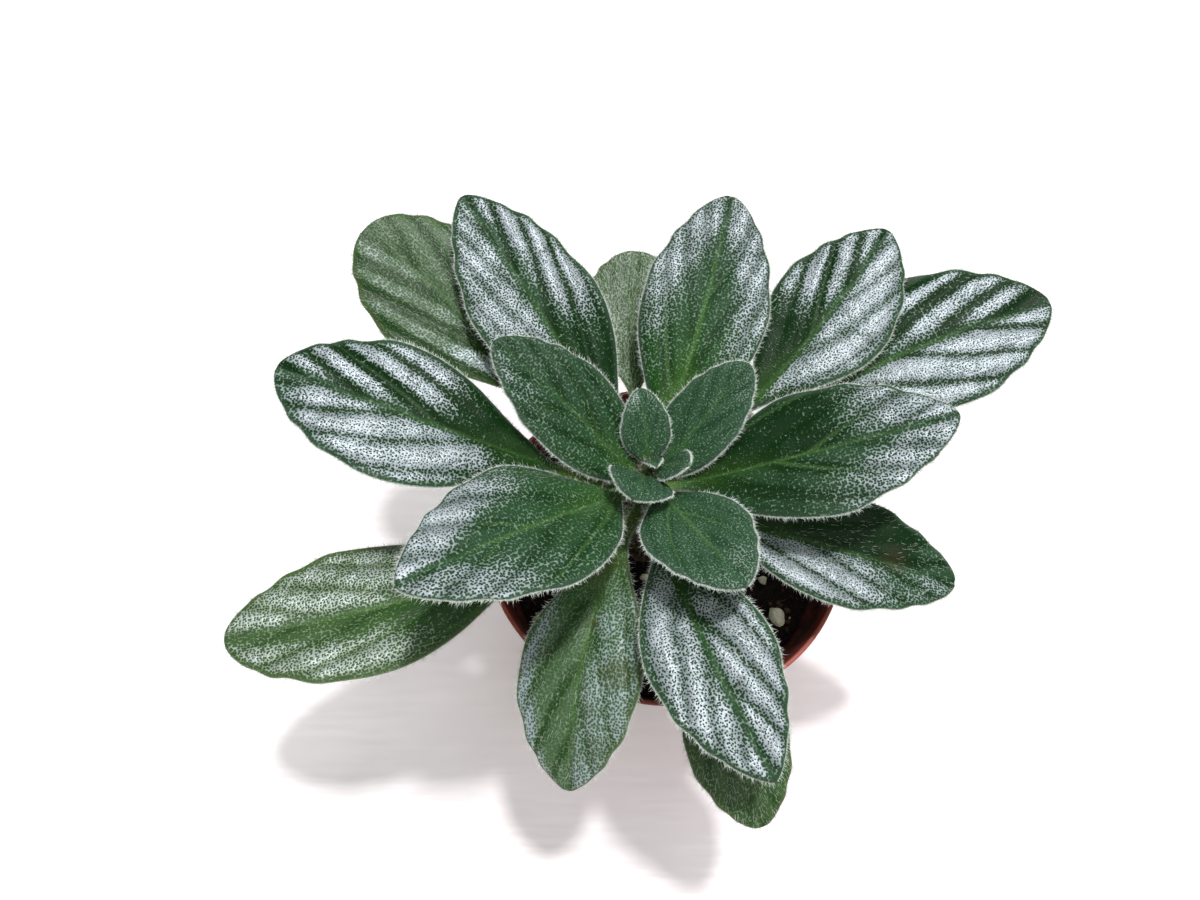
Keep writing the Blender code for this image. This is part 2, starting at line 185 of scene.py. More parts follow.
# Brown marks: along the blade, across it (1 is the left margin), radius, strength.
MARKS = {
    "leaf_04": ((0.30, -0.95, 1.3, 0.9), (0.38, -0.98, 0.8, 0.9), (0.45, 0.35, 0.5, 0.6)),
    "leaf_06": ((0.72, 0.08, 4.5, 0.32),),
    "leaf_07": ((0.18, -0.45, 6.0, 0.40), (0.40, 0.04, 1.3, 0.75), (0.55, 0.60, 5.0, 0.30)),
    "leaf_10": ((0.66, 0.20, 0.6, 0.9),),
    "leaf_11": ((0.34, 0.62, 0.9, 1.0),),
}

# ---------------------------------------------------------------- meshes from arrays


def unit(vectors):
    return vectors / np.maximum(np.linalg.norm(vectors, axis=-1, keepdims=True), 1e-12)


def smooth(value, start, end):
    """0 before start and 1 after end, with a soft step between them."""
    part = np.clip((value - start) / (end - start), 0.0, 1.0)
    return part * part * (3.0 - 2.0 * part)


def waves(x, y, size, seed):
    """Smooth random unevenness of about -1 to 1, with features of the given size."""
    draw = np.random.default_rng(seed)
    total = np.zeros_like(x)
    for number in range(7):
        angle = draw.uniform(0, math.tau)
        length = size * draw.uniform(1.4, 2.6)
        phase = draw.uniform(0, math.tau)
        total += np.sin(math.tau * (x * math.cos(angle) + y * math.sin(angle)) / length + phase)
    return total / 2.6


def noise_at(points, size, offset=0.0):
    """Gradient noise of about -1 to 1 at each point, with features of the given size."""
    return np.array([noise.noise(Vector(point)) for point in points / size + offset])


def around(radius, angle, height):
    """Points at these radii, angles and heights round the vertical axis."""
    return np.stack(np.broadcast_arrays(radius * np.cos(angle), radius * np.sin(angle), height), -1)


def full_turn(count):
    return np.linspace(0.0, math.tau, count, endpoint=False)


def turned(points, angle):
    """The points turned to the left round the vertical axis."""
    c, s = math.cos(angle), math.sin(angle)
    return points @ np.array([[c, s, 0.0], [-s, c, 0.0], [0.0, 0.0, 1.0]])


def closed(numbers):
    """Rows of point numbers with the first of each row again at its end."""
    return np.concatenate([numbers, numbers[:, :1]], 1)


def grid_faces(numbers):
    """Quads between neighbouring rows and columns of an array of point numbers."""
    corners = (numbers[:-1, :-1], numbers[:-1, 1:], numbers[1:, 1:], numbers[1:, :-1])
    return np.stack(corners, -1).reshape(-1, 4)


# Part of a mesh: points, arrays of faces, material number, and the map places of the points in each array.
Body = collections.namedtuple("Body", "points faces slot places", defaults=(0, None))


def closed_rings(rows, foot, head, downward=False):
    """Points and faces of a closed body: rings of points between two end points, upwards or downwards."""
    rows = np.stack(rows)
    numbers = np.arange(rows[..., 0].size).reshape(rows.shape[:2])
    wrapped = closed(numbers)
    first, last = np.full((2, rows.shape[1]), [[numbers.size], [numbers.size + 1]])
    low = np.stack([first, wrapped[0, 1:], wrapped[0, :-1]], -1)
    high = np.stack([last, wrapped[-1, :-1], wrapped[-1, 1:]], -1)
    points = np.concatenate([rows.reshape(-1, 3), [foot, head]])
    faces = [grid_faces(wrapped), np.concatenate([low, high])]
    return points, [corners[:, ::-1] for corners in faces] if downward else faces


def add_object(name, data):
    thing = bpy.data.objects.new(name, data)
    bpy.context.scene.collection.objects.link(thing)
    return thing


def build_piece(name, bodies, materials, masks=None):
    """A new object from bodies in millimetres.

    masks hold a number or three for each point; points past their end get nothing.
    """
    corners, counts, slots, spots = [], [], [], []
    shift = 0
    for body in bodies:
        for number, faces in enumerate(body.faces):
            corners.append((faces + shift).ravel())
            counts.append(np.full(len(faces), faces.shape[1]))
            slots.append(np.full(len(faces), body.slot))
            if body.places:
                spots.append(body.places[number][faces.ravel()])
        shift += len(body.points)
    corners, counts, slots = (np.concatenate(rows).astype(np.int32) for rows in (corners, counts, slots))
    mesh = bpy.data.meshes.new(name)
    mesh.vertices.add(shift)
    points = np.concatenate([body.points for body in bodies])
    mesh.vertices.foreach_set("co", (points * MM).astype(np.float32).ravel())
    mesh.loops.add(len(corners))
    mesh.loops.foreach_set("vertex_index", corners)
    mesh.polygons.add(len(counts))
    mesh.polygons.foreach_set("loop_start", (np.cumsum(counts) - counts).astype(np.int32))
    mesh.polygons.foreach_set("material_index", slots)
    for material in materials:
        mesh.materials.append(material)
    if spots:
        layer = mesh.uv_layers.new(name="OFBake")
        layer.uv.foreach_set("vector", np.concatenate(spots).astype(np.float32).ravel())
    for mask, values in (masks or {}).items():
        kind, field = ("FLOAT", "value") if values.ndim == 1 else ("FLOAT_VECTOR", "vector")
        rest = np.zeros((shift - len(values),) + values.shape[1:])
        attribute = mesh.attributes.new(mask, kind, "POINT")
        attribute.data.foreach_set(field, np.concatenate([values, rest]).astype(np.float32).ravel())
    mesh.update(calc_edges=True)
    mesh.validate()
    mesh.shade_smooth()
    return add_object(name, mesh)


def finish_piece(piece, slot, node):
    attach(piece, "root")
    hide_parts(node)


# heights run from 0 at the root to 1 at the tip, for the points of one hair.
Hairs = collections.namedtuple("Hairs", "points faces heights")


def grow(roots, ways, lengths, radii, curls=None):
    """Three-sided hairs; those with a curl turn once at mid-length."""
    first = unit(np.cross(ways, ways[:, [1, 2, 0]] + 0.31))
    second = np.cross(ways, first)
    straight = curls is None
    curls = 0.0 * ways if straight else curls
    joints = ((0.0, 1.0),) if straight else ((0.0, 1.0), (0.5, 0.75))
    rings = []
    for height, share in joints:
        centre = roots + ways * (lengths * height)[:, None] + curls * (lengths * height**2)[:, None]
        for angle in full_turn(3):
            out = first * math.cos(angle) + second * math.sin(angle)
            rings.append(centre + out * (radii * share)[:, None])
    rings.append(roots + (ways + curls) * lengths[:, None])
    tip = len(rings) - 1
    pattern = [(0, 2, 1)]
    for corner in range(3):
        after = (corner + 1) % 3
        if not straight:
            pattern += [(corner, after, after + 3), (corner, after + 3, corner + 3)]
        pattern.append((corner + tip - 3, after + tip - 3, tip))
    faces = (np.array(pattern)[None] + len(rings) * np.arange(len(roots))[:, None, None]).reshape(-1, 3)
    heights = np.array([height for height, share in joints for corner in range(3)] + [1.0])
    return Hairs(np.stack(rings, 1).reshape(-1, 3), faces, heights)


def hair_heights(hairs):
    """Height of every point of all the hairs."""
    return np.tile(hairs.heights, len(hairs.points) // len(hairs.heights))


# ---------------------------------------------------------------- leaves

SPACING = 0.5
STALK_SPACING = 0.9
UNDER_COLUMNS = 24
VEIN_SPACING = 0.27
RIB_GROOVE = {"old": 0.45, "mature": 0.55, "young": 0.25}


def stem_radius(height):
    if height < STEM_NECK_HEIGHT:
        part = (height - SOIL_TOP) / (STEM_NECK_HEIGHT - SOIL_TOP)
        return STEM_FOOT_RADIUS + (STEM_NECK_RADIUS - STEM_FOOT_RADIUS) * part
    part = (height - STEM_NECK_HEIGHT) / (STEM_TOP - STEM_NECK_HEIGHT)
    return STEM_NECK_RADIUS + (STEM_TIP_RADIUS - STEM_NECK_RADIUS) * min(part, 1.0)


def stalk_half_width(leaf):
    return min(STALK_HALF_WIDTH, 0.3 + 0.07 * leaf.width)


def root_distance(leaf):
    """Distance of the stalk's foot from the stem's axis."""
    if leaf.root > STEM_TOP:
        return 0.5 * STEM_TIP_RADIUS
    rise = math.radians(leaf.rise)
    thickness = STALK_HALF_THICKNESS * min(stalk_half_width(leaf) / STALK_HALF_WIDTH, 1.0)
    underside = leaf.root - thickness * math.cos(rise)
    return stem_radius(underside) + STEM_GAP + thickness * abs(math.sin(rise))


def blade_half_width(leaf, along):
    inside = np.clip(along, 0.0, 1.0)
    skew = math.log(0.5) / math.log(leaf.widest)
    sharpness = leaf.base + (leaf.tip - leaf.base) * inside
    return 0.5 * leaf.width * np.maximum(np.sin(math.pi * inside**skew), 0.0) ** sharpness


def leaf_direction(leaf, part):
    slope = np.radians(leaf.rise - leaf.droop * part**DROOP_POWER)
    heading = np.radians(leaf.turn + leaf.bend * part)
    flat = np.cos(slope)
    return np.stack([flat * np.cos(heading), flat * np.sin(heading), np.sin(slope)], -1)


Stations = collections.namedtuple("Stations", "part run centre ahead side up half_width thickness")


def leaf_stations(leaf):
    """Cross-sections from the foot, which is let into the stem, to the tip."""
    length = leaf.stalk + leaf.blade
    on_stalk = np.linspace(0.0, leaf.stalk, max(int(leaf.stalk / STALK_SPACING), 2), endpoint=False)
    step = np.linspace(0.0, 1.0, int(leaf.blade / SPACING) + 1)
    on_blade = leaf.stalk + leaf.blade * (0.75 * step + 0.25 * np.sin(0.5 * math.pi * step))
    run = np.concatenate([on_stalk, on_blade])
    part = run / length
    fine = np.linspace(0.0, 1.0, 1001)
    middles = leaf_direction(leaf, 0.5 * (fine[1:] + fine[:-1])) * length / 1000
    path = np.concatenate([np.zeros((1, 3)), np.cumsum(middles, 0)])
    turn = math.radians(leaf.turn)
    distance = root_distance(leaf)
    foot = (STEM_X + distance * math.cos(turn), STEM_Y + distance * math.sin(turn), leaf.root)
    centre = np.stack([np.interp(part, fine, path[:, axis]) + foot[axis] for axis in range(3)], -1)
    centre[0] -= leaf_direction(leaf, np.zeros(1))[0] * (STEM_GAP + 0.5)
    ahead = leaf_direction(leaf, part)
    level = unit(np.stack([-ahead[:, 1], ahead[:, 0], np.zeros(len(part))], -1))
    roll = np.radians(leaf.roll) * np.minimum(part * ROLL_RATE, 1.0)
    side = level * np.cos(roll)[:, None] + np.cross(ahead, level) * np.sin(roll)[:, None]
    up = np.cross(ahead, side)
    stalk = stalk_half_width(leaf) * (1.0 - part)
    blade = blade_half_width(leaf, (run - leaf.stalk) / leaf.blade)
    half_width = np.sqrt(blade**2 + stalk**2 + TIP_HALF_WIDTH**2)
    thinning = np.minimum(half_width / STALK_HALF_WIDTH, 1.0)
    thick = STALK_HALF_THICKNESS + (BLADE_HALF_THICKNESS - STALK_HALF_THICKNESS) * np.minimum(2 * part, 1.0)
    thickness = np.maximum(thick * thinning, TIP_HALF_THICKNESS)
    return Stations(part, run, centre, ahead, side, up, half_width, thickness)


def vein_phase(leaf, run, sideways, seed):
    """Whole numbers on the side veins, which leave the midrib at a slant and arch towards the tip."""
    half = 0.5 * leaf.width
    out = np.abs(sideways) / half
    along = (run - leaf.stalk) / leaf.blade
    slant = LOOKS[leaf.name].slant * (1.15 + 1.25 * np.clip(along, 0.0, 1.0) + 0.45 * out)
    start = along - out * half / leaf.blade * slant
    start = start + 0.010 * waves(run, sideways, 0.5 * leaf.width, seed)
    shift = np.where(sideways > 0, 0.0, 0.45) + 0.37 * seed
    return start / VEIN_SPACING + shift


def vein_depth(phase):
    """Depth of the nearest side vein, from 0.4 to 1; it differs from vein to vein."""
    share = np.mod(np.sin(12.99 * np.round(phase)) * 43758.5, 1.0)
    return 0.4 + 0.6 * share


# Points of one face: place along the leaf, place left of the midrib and its share of the half width,
# share of the blade's length, phase between the side veins, distance from the nearest and its depth.
Spots = collections.namedtuple("Spots", "run sideways across along phase from_vein depth")


def leaf_relief(leaf, at, seed):
    """Height of the quilted surface over the plain one."""
    look = LOOKS[leaf.name]
    soft = np.minimum(np.sqrt(at.from_vein**2 + 0.05**2) - 0.05, 0.5)
    pillow = 1.0 - at.depth * (1.0 - 2.0 * soft) ** 2
    near_rib = 1.0 - np.exp(-((np.abs(at.sideways) / (0.07 * leaf.width)) ** 2))
    inside = 0.3 + 0.7 * smooth(1.0 - np.abs(at.across), 0.0, 0.18)
    on_blade = smooth(at.along, 0.02, 0.16) * smooth(1.0 - at.along, 0.0, 0.12)
    size = min(leaf.width / 28.0, 1.0)
    groove = RIB_GROOVE[leaf.age] * size * smooth(at.along, 0.0, 0.06) * np.clip(1.1 - at.along, 0.0, 1.0)
    quilt = np.where(at.sideways > 0, look.left, look.right) * near_rib * inside * on_blade
    relief = quilt * (1.25 * (pillow - 0.6) + 0.16 * waves(at.run, at.sideways, 5.5, seed + 4))
    relief -= groove * np.exp(-((at.sideways / (1.25 * size)) ** 2))
    relief += 0.030 * waves(at.run, at.sideways, 2.2, seed + 1) * on_blade
    ruffle = 0.012 * leaf.width * waves(at.run, at.sideways, 11.0, seed + 2)
    return relief + ruffle * np.abs(at.across) ** 2 * on_blade


def half_painted_sheen(painted_sheen, at):
    """Painted sheen of one half of a blade, a painted highlight, with gaps at the side veins."""
    to_tip = painted_sheen.end > TO_TIP
    spread = smooth(at.along, painted_sheen.start - 0.10, painted_sheen.start + (0.40 if to_tip else 0.16))
    spread = spread * (0.35 + 0.65 * smooth(-at.along, -painted_sheen.end - 0.03, -painted_sheen.end + 0.12))
    inner = painted_sheen.inner * (1.0 - to_tip * smooth(at.along, 0.55, 0.95))
    spread = spread * smooth(np.abs(at.across), inner - 0.25, inner + 0.25)
    valley = painted_sheen.valley * at.depth
    return painted_sheen.strength * spread * smooth(at.from_vein, valley - 0.12, valley + 0.15)


def half_painted_shade(painted_sheen, at):
    """Painted shade of one half, a darker green: near the stalk, before the painted sheen starts, and in the
    valleys.
    """
    near_stalk = painted_sheen.deep * (1.0 - smooth(at.along, painted_sheen.start, painted_sheen.start + 0.25))
    valley = (1.0 - smooth(at.from_vein, painted_sheen.valley, painted_sheen.valley + 0.14)) * at.depth
    return np.maximum(near_stalk, min(5.0 * painted_sheen.valley, 0.8) * valley)


def leaf_masks(leaf, at, top):
    """Where each finish of the leaf lies, by point; pillow and edge are lengths."""
    look = LOOKS[leaf.name]
    halves = PAINTED_SHEEN.get(leaf.name, (MATTE, MATTE))
    on_left = at.sideways > 0
    half_width = np.maximum(np.abs(at.sideways / np.where(np.abs(at.across) < 0.01, 1.0, at.across)), 0.3)
    edge = (1.0 - np.abs(at.across)) * half_width
    bare_edge = 1.0 if halves[0].end > TO_TIP else 2.1
    # Painted sheen: silver paint that stands in for the lamps' highlight, kept off the margin and the
    # midrib.
    painted_sheen = np.where(on_left, *(half_painted_sheen(half, at) for half in halves))
    painted_sheen = painted_sheen * smooth(edge, 0.15 * bare_edge, bare_edge) * smooth(np.abs(at.sideways), 0.2, 1.4)
    # Painted shade: darker green near the stalk and in the valleys between side veins.
    deep = np.where(on_left, *(half_painted_shade(half, at) for half in halves))
    quilt = np.where(on_left, look.left, look.right) * (1.0 if top else 0.3)
    out = np.abs(at.sideways) / (0.5 * leaf.width)
    pale = np.clip(1.0 - smooth(at.along + 0.9 * out, -0.05, 0.62), 0.0, 1.0)
    on_rib = 0.6 * np.exp(-((at.sideways / 0.6) ** 2)) * smooth(-at.along, -1.0, -0.45)
    brown = np.zeros_like(at.run)
    for spot_along, spot_across, radius, strength in MARKS.get(leaf.name, ()):
        away = np.hypot((at.along - spot_along) * leaf.blade, (at.across - spot_across) * half_width)
        brown = np.maximum(brown, strength * (1.0 - smooth(away, 0.3 * radius, radius)))
    past_base = smooth(at.along, 0.0, 0.06)
    before_tip = smooth(1.0 - at.along, 0.05, 0.6)
    return {
        "flat": np.stack([at.run, at.sideways, at.phase], -1),
        "painted_sheen": painted_sheen if top else 0.0 * painted_sheen,
        "pale": look.pale * np.maximum(pale, on_rib),
        "fresh": look.pale * (1.0 - smooth(at.along, 0.10, 0.80)),
        "brown": brown if top else 0.0 * brown,
        "veins": look.veins * before_tip * past_base * smooth(at.depth, 0.5, 0.9),
        "rib": look.veins * smooth(1.0 - at.along, 0.0, 0.5) * past_base,
        "crest": smooth(at.from_vein, 0.0, 0.35),
        "pillow": 0.5 * quilt * at.depth * smooth(at.from_vein, 0.0, 0.40),
        "deep": deep * smooth(at.along, -0.02, 0.10),
        "gloss": np.full_like(at.run, look.gloss if top else 0.0),
        "edge": edge,
        "stalk": 1.0 - smooth(at.along, -0.04, 0.05),
        "under": np.full_like(at.run, 0.0 if top else 1.0),
    }


def leaf_face(leaf, stations, across, top, seed):
    """Points of the upper or lower face, and the masks that colour them."""
    a = across[None, :] + 0.0 * stations.run[:, None]
    width = stations.half_width[:, None]
    run = stations.run[:, None] + 0.0 * a
    along = (run - leaf.stalk) / leaf.blade
    phase = vein_phase(leaf, run, a * width, seed)
    at = Spots(run, a * width, a, along, phase, np.abs(phase - np.round(phase)), vein_depth(phase))
    margin_phase = vein_phase(leaf, run, np.sign(a) * width, seed)
    wide = smooth(width / (0.5 * leaf.width), 0.3, 0.7)
    scallop = -0.010 * leaf.width * np.cos(math.tau * margin_phase) * wide * np.abs(a) ** 3 * np.sign(a)
    fold = math.radians(leaf.fold)
    lifted = np.sqrt(a**2 + 0.05**2) - 0.05
    height = width * (lifted * math.sin(fold) - EDGE_SAG * a**2)
    face = stations.thickness[:, None] * np.sqrt(np.maximum(1.0 - np.abs(a) ** 5, 0.0))
    relief = leaf_relief(leaf, at, seed) * np.clip(width / 4.0, 0.0, 1.0)
    offset = height + relief + (face if top else -face)
    if not top:
        bulge = 0.22 * np.exp(-((at.from_vein / 0.09) ** 2)) * smooth(along, 0.0, 0.1)
        bulge = bulge * smooth(1.0 - np.abs(a), 0.0, 0.2)
        bulge += 0.55 * np.exp(-((at.sideways / 1.1) ** 2)) * np.clip(1.1 - along, 0.0, 1.0)
        offset -= bulge * np.clip(width / 6.0, 0.0, 1.0)
    points = stations.centre[:, None] + stations.up[:, None] * offset[..., None]
    points += stations.side[:, None] * ((at.sideways + scallop) * math.cos(fold))[..., None]
    return points, leaf_masks(leaf, at, top)


def leaf_piece(leaf, materials, seed):
    """One leaf: both faces, rounded margins, closed ends and hairs."""
    stations = leaf_stations(leaf)
    columns = max(int(leaf.width / SPACING), 16)
    inner = np.linspace(0.965, -0.965, columns)
    top_across = np.concatenate([[1.0, 0.997, 0.985], inner, [-0.985, -0.997, -1.0]])
    under_inner = np.linspace(-0.93, 0.93, min(UNDER_COLUMNS, columns))
    under_across = np.concatenate([[-0.985], under_inner, [0.985]])
    top, top_masks = leaf_face(leaf, stations, top_across, True, seed)
    under, under_masks = leaf_face(leaf, stations, under_across, False, seed)
    upper = np.arange(top[..., 0].size).reshape(top.shape[:2])
    lower = upper.size + np.arange(under[..., 0].size).reshape(under.shape[:2])
    ring = np.concatenate([upper[:, -1:], lower, upper[:, :1]], 1)
    outlines = [np.concatenate([upper[row], lower[row]]) for row in (0, -1)]

    def joined(first, second):
        """Rows for both faces and their means at the middles of the two ends."""
        rows = np.concatenate([face.reshape((-1,) + face.shape[2:]) for face in (first, second)])
        return np.concatenate([rows] + [rows[outline].mean(0)[None] for outline in outlines])

    points = joined(top, under)
    masks = {name: joined(top_masks[name], under_masks[name]) for name in top_masks}
    middles = np.full((2, outlines[0].size), [[len(points) - 2], [len(points) - 1]])
    foot, tip = (np.stack([m, np.roll(o, -1), o], -1) for m, o in zip(middles, outlines))
    faces = [grid_faces(upper), grid_faces(ring), np.concatenate([foot, tip[:, ::-1]])]
    places = leaf_places(leaf, stations, top_across, under_across, upper, ring)
    bodies = [Body(points, faces, 0, (*places, places[1]))]
    heights = [np.zeros(len(points))]
    draw = np.random.default_rng(2000 + seed)
    for hairs in leaf_hairs(leaf, stations, top, under, seed):
        bodies.append(Body(hairs.points, [hairs.faces], 1, [hair_places(draw, hairs)]))
        heights.append(hair_heights(hairs))
    masks["tip"] = np.concatenate(heights)
    return build_piece(leaf.name + "_blade", bodies, materials, masks)


def leaf_places(leaf, stations, top_across, under_across, upper, ring):
    """Map places: the upper face in the lower part of the image, the lower face above it."""
    u = (0.01 + 0.98 * stations.run / (leaf.stalk + leaf.blade))[:, None]
    share = stations.half_width[:, None] / stations.half_width.max()
    top_places, under_places = np.zeros((2, ring.max() + 3, 2))
    v = 0.29 + 0.27 * top_across[None, :] * share
    top_places[upper] = np.stack([u + 0.0 * v, v], -1)
    across = np.concatenate([[-1.0], under_across, [1.0]])
    v = 0.74 + 0.15 * across[None, :] * share
    under_places[ring] = np.stack([u + 0.0 * v, v], -1)
    under_places[upper[0, 1:-1]] = (0.012, 0.74)
    under_places[upper[-1, 1:-1]] = (0.992, 0.74)
    under_places[-2] = (0.008, 0.742)
    under_places[-1] = (0.996, 0.742)
    return top_places, under_places


def hair_places(draw, hairs):
    """Map places of hairs, in a strip along the top of the image."""
    count = len(hairs.points) // len(hairs.heights)
    u = draw.uniform(0.01, 0.98, count)[:, None] + 0.003 * (np.arange(len(hairs.heights)) % 3)
    return np.stack([u, 0.92 + 0.07 * hairs.heights + 0.0 * u], -1).reshape(-1, 2)


HAIR_RADIUS = 0.060
FELT_SPACING = {"old": 0.16, "mature": 0.10, "young": 0.085}
FELT_LENGTH = {"old": 0.55, "mature": 0.50, "young": 0.62}
FRINGE_SPACING = {"old": 0.42, "mature": 0.31, "young": 0.26}
FRINGE_LENGTH = {"old": 1.6, "mature": 1.35, "young": 1.3}
UNDER_HAIRS = 0.25
STALK_HAIRS = 4.4


def margin_roots(draw, stations, face, side, spacing, lean, lift, spread):
    """Random places along one margin, the way out there and the way of each hair.

    side is 1 for the left margin and -1 for the right one.
    """
    margin = face[:, 0 if side > 0 else -1]
    run = np.concatenate([[0.0], np.cumsum(np.linalg.norm(np.diff(margin, axis=0), axis=1))])
    at = np.sort(draw.uniform(0.0, run[-1], int(run[-1] / spacing)))
    place = np.stack([np.interp(at, run, margin[:, axis]) for axis in range(3)], -1)
    row = np.clip(np.searchsorted(run, at), 1, len(run) - 1)
    tangent = unit(margin[row] - margin[row - 1])
    out = unit(np.cross(tangent, stations.up[row]) * -side)
    ways = out + tangent * draw.normal(lean, 0.35, len(at))[:, None]
    return place, out, unit(ways + stations.up[row] * draw.normal(lift, spread, len(at))[:, None])


def face_roots(draw, stations, face, count, spread, on_blade=1.0):
    """Random places on a face, evenly by area.

    Gives each place, two random shares, the place across the face, and the ways ahead, aside and up.
    """
    weight = (stations.half_width * on_blade)[:-1] * np.diff(stations.run)
    share = np.cumsum(weight)
    row = np.minimum(np.searchsorted(share, draw.uniform(0, share[-1], count)), len(weight) - 1)
    columns = face.shape[1]
    across = draw.uniform(3.0, columns - 4.0, count)
    column = across.astype(int)
    part = (across - column)[:, None]
    ahead = draw.uniform(0.0, 1.0, count)[:, None]
    near = face[row, column] * (1 - part) + face[row, column + 1] * part
    far = face[row + 1, column] * (1 - part) + face[row + 1, column + 1] * part
    first, second = draw.normal(0.0, spread, (count, 2)).T[..., None]
    place = near * (1 - ahead) + far * ahead
    across = (1.0 - 2.0 * across / columns)[:, None]
    return place, first, second, across, stations.ahead[row], stations.side[row], stations.up[row]


def leaf_hairs(leaf, stations, top, under, seed):
    """Felt and longer fringe on both margins, fuzz on both faces and long hairs on the stalk."""
    draw = np.random.default_rng(1000 + seed)
    scale = min(0.45 + leaf.width / 40.0, 1.0)
    sets = []
    for side in (1.0, -1.0):
        spacing = FELT_SPACING[leaf.age] * (0.5 + 0.5 * scale)
        place, out, ways = margin_roots(draw, stations, top, side, spacing, 0.35, 0.25, 0.40)
        lengths = FELT_LENGTH[leaf.age] * scale * draw.uniform(0.5, 1.2, len(place))
        radii = HAIR_RADIUS * draw.uniform(0.8, 1.2, len(place))
        sets.append(grow(place - out * 0.08, ways, lengths, radii))
        spacing = FRINGE_SPACING[leaf.age]
        place, out, ways = margin_roots(draw, stations, top, side, spacing, 0.45, 0.05, 0.35)
        lengths = FRINGE_LENGTH[leaf.age] * scale * draw.uniform(0.5, 1.15, len(place))
        radii = HAIR_RADIUS * draw.uniform(0.6, 0.9, len(place))
        curls = draw.normal(0.0, 0.16, ways.shape)
        sets.append(grow(place - out * 0.05, ways, lengths, radii, curls))
    area = (stations.half_width[1:] * 2 * np.diff(stations.run)).sum()

    count = int(area * LOOKS[leaf.name].fuzz)
    place, first, second, across, ahead, aside, up = face_roots(draw, stations, top, count, 0.35)
    ways = up + ahead * (0.3 + first) + aside * second
    lengths = 0.17 * draw.uniform(0.6, 1.5, count)
    radii = 0.042 * draw.uniform(0.8, 1.2, count)
    sets.append(grow(place - up * 0.03, unit(ways), lengths, radii))

    count = int(area * LOOKS[leaf.name].lying)
    if count:
        place, first, second, across, ahead, aside, up = face_roots(draw, stations, top, count, 0.22)
        ways = ahead + aside * (0.55 * across + first) + up * (0.20 + 0.4 * np.abs(second))
        lengths = 1.7 * draw.uniform(0.5, 1.2, count)
        radii = 0.024 * draw.uniform(0.8, 1.2, count)
        curls = draw.normal(0.0, 0.06, ways.shape) - up * 0.12
        sets.append(grow(place, unit(ways), lengths, radii, curls))

    count = int(area * UNDER_HAIRS)
    place, first, second, across, ahead, aside, up = face_roots(draw, stations, under, count, 0.5)
    ways = ahead * (0.4 + first) + aside * second - up
    lengths = 0.8 * draw.uniform(0.5, 1.3, count)
    sets.append(grow(place + up * 0.03, unit(ways), lengths, np.full(count, 0.045)))

    on_stalk = stations.run < leaf.stalk * 1.15 + 2.0
    count = int(leaf.stalk * STALK_HAIRS)
    for face, sign in ((top, 1.0), (under, -1.0)):
        roots = face_roots(draw, stations, face, count, 0.45, on_stalk)
        place, first, second, across, ahead, aside, up = roots
        ways = up * sign + aside * (across * sign + second) + ahead * (0.3 + first)
        lengths = 1.3 * scale * draw.uniform(0.5, 1.2, count)
        radii = 0.040 * draw.uniform(0.8, 1.2, count)
        sets.append(grow(place, unit(ways), lengths, radii, draw.normal(0.0, 0.18, ways.shape)))
    return sets


# ---------------------------------------------------------------- stem

STEM_TURNS = 48
STEM_STEP = 0.45
STEM_HAIRS = 900
LEAF_SCARS = 13


def add_stem(materials):
    """The stem with leaf scars and long white hairs."""
    heights = np.arange(SOIL_TOP - 0.6, STEM_TOP - 0.7, STEM_STEP)
    heights = np.concatenate([heights, [STEM_TOP - 0.4, STEM_TOP]])
    radius = np.array([stem_radius(height) for height in heights])
    radius[-2:] = (0.95 * STEM_TIP_RADIUS, 0.5 * STEM_TIP_RADIUS)
    angles = full_turn(STEM_TURNS) + 0.0 * heights[:, None]
    up = heights[:, None] + 0.0 * angles
    rough = noise_at(around(3.5, angles, up).reshape(-1, 3), 2.4)
    ridges = noise_at(around(9.0, angles, 0.25 * up).reshape(-1, 3), 2.0)
    bulge = (0.22 * rough + 0.12 * ridges).reshape(angles.shape)
    scar = np.zeros_like(angles)
    for number in range(LEAF_SCARS):
        aside = np.angle(np.exp(1j * (angles - 2.4 * number))) * 3.4
        away = np.hypot(aside / 1.9, (up - 47.5 - 1.55 * number) / 0.9)
        mark = np.exp(-((away - 0.8) ** 2) / 0.06) - 0.8 * np.exp(-((away / 0.6) ** 2))
        scar = np.maximum(scar, mark)
    bulge += 0.22 * scar * smooth(-up, -68.0, -64.0)
    bulge *= smooth(-up, -STEM_TOP, -STEM_TOP + 3.0)
    axis = np.array([STEM_X, STEM_Y, 0.0])
    rows = around(radius[:, None] + bulge, angles, up) + axis
    points, faces = closed_rings(rows, axis + (0.0, 0.0, heights[0]), axis + (0.0, 0.0, STEM_TOP + 0.1))
    draw = np.random.default_rng(7)
    height = draw.uniform(SOIL_TOP + 0.5, STEM_TOP - 1.0, STEM_HAIRS)
    angle = draw.uniform(0.0, math.tau, STEM_HAIRS)
    outward = around(1.0, angle, 0.0)
    roots = around(np.array([stem_radius(spot) for spot in height]), angle, height) + axis
    ways = unit(outward + draw.normal(0.0, 0.45, outward.shape) + (0.0, 0.0, 0.15))
    lengths = draw.uniform(0.9, 2.3, STEM_HAIRS)
    radii = draw.uniform(0.035, 0.050, STEM_HAIRS)
    hairs = grow(roots, ways, lengths, radii, draw.normal(0.0, 0.22, outward.shape))
    tips = np.concatenate([np.zeros(len(points)), hair_heights(hairs)])
    masks = {"scar": np.maximum(scar, 0.0).ravel(), "tip": tips}
    bodies = [Body(points, faces), Body(hairs.points, [hairs.faces], 1)]
    finish_piece(build_piece("stem_bark", bodies, materials, masks), "stem_bark", "stem")


# ---------------------------------------------------------------- soil and perlite

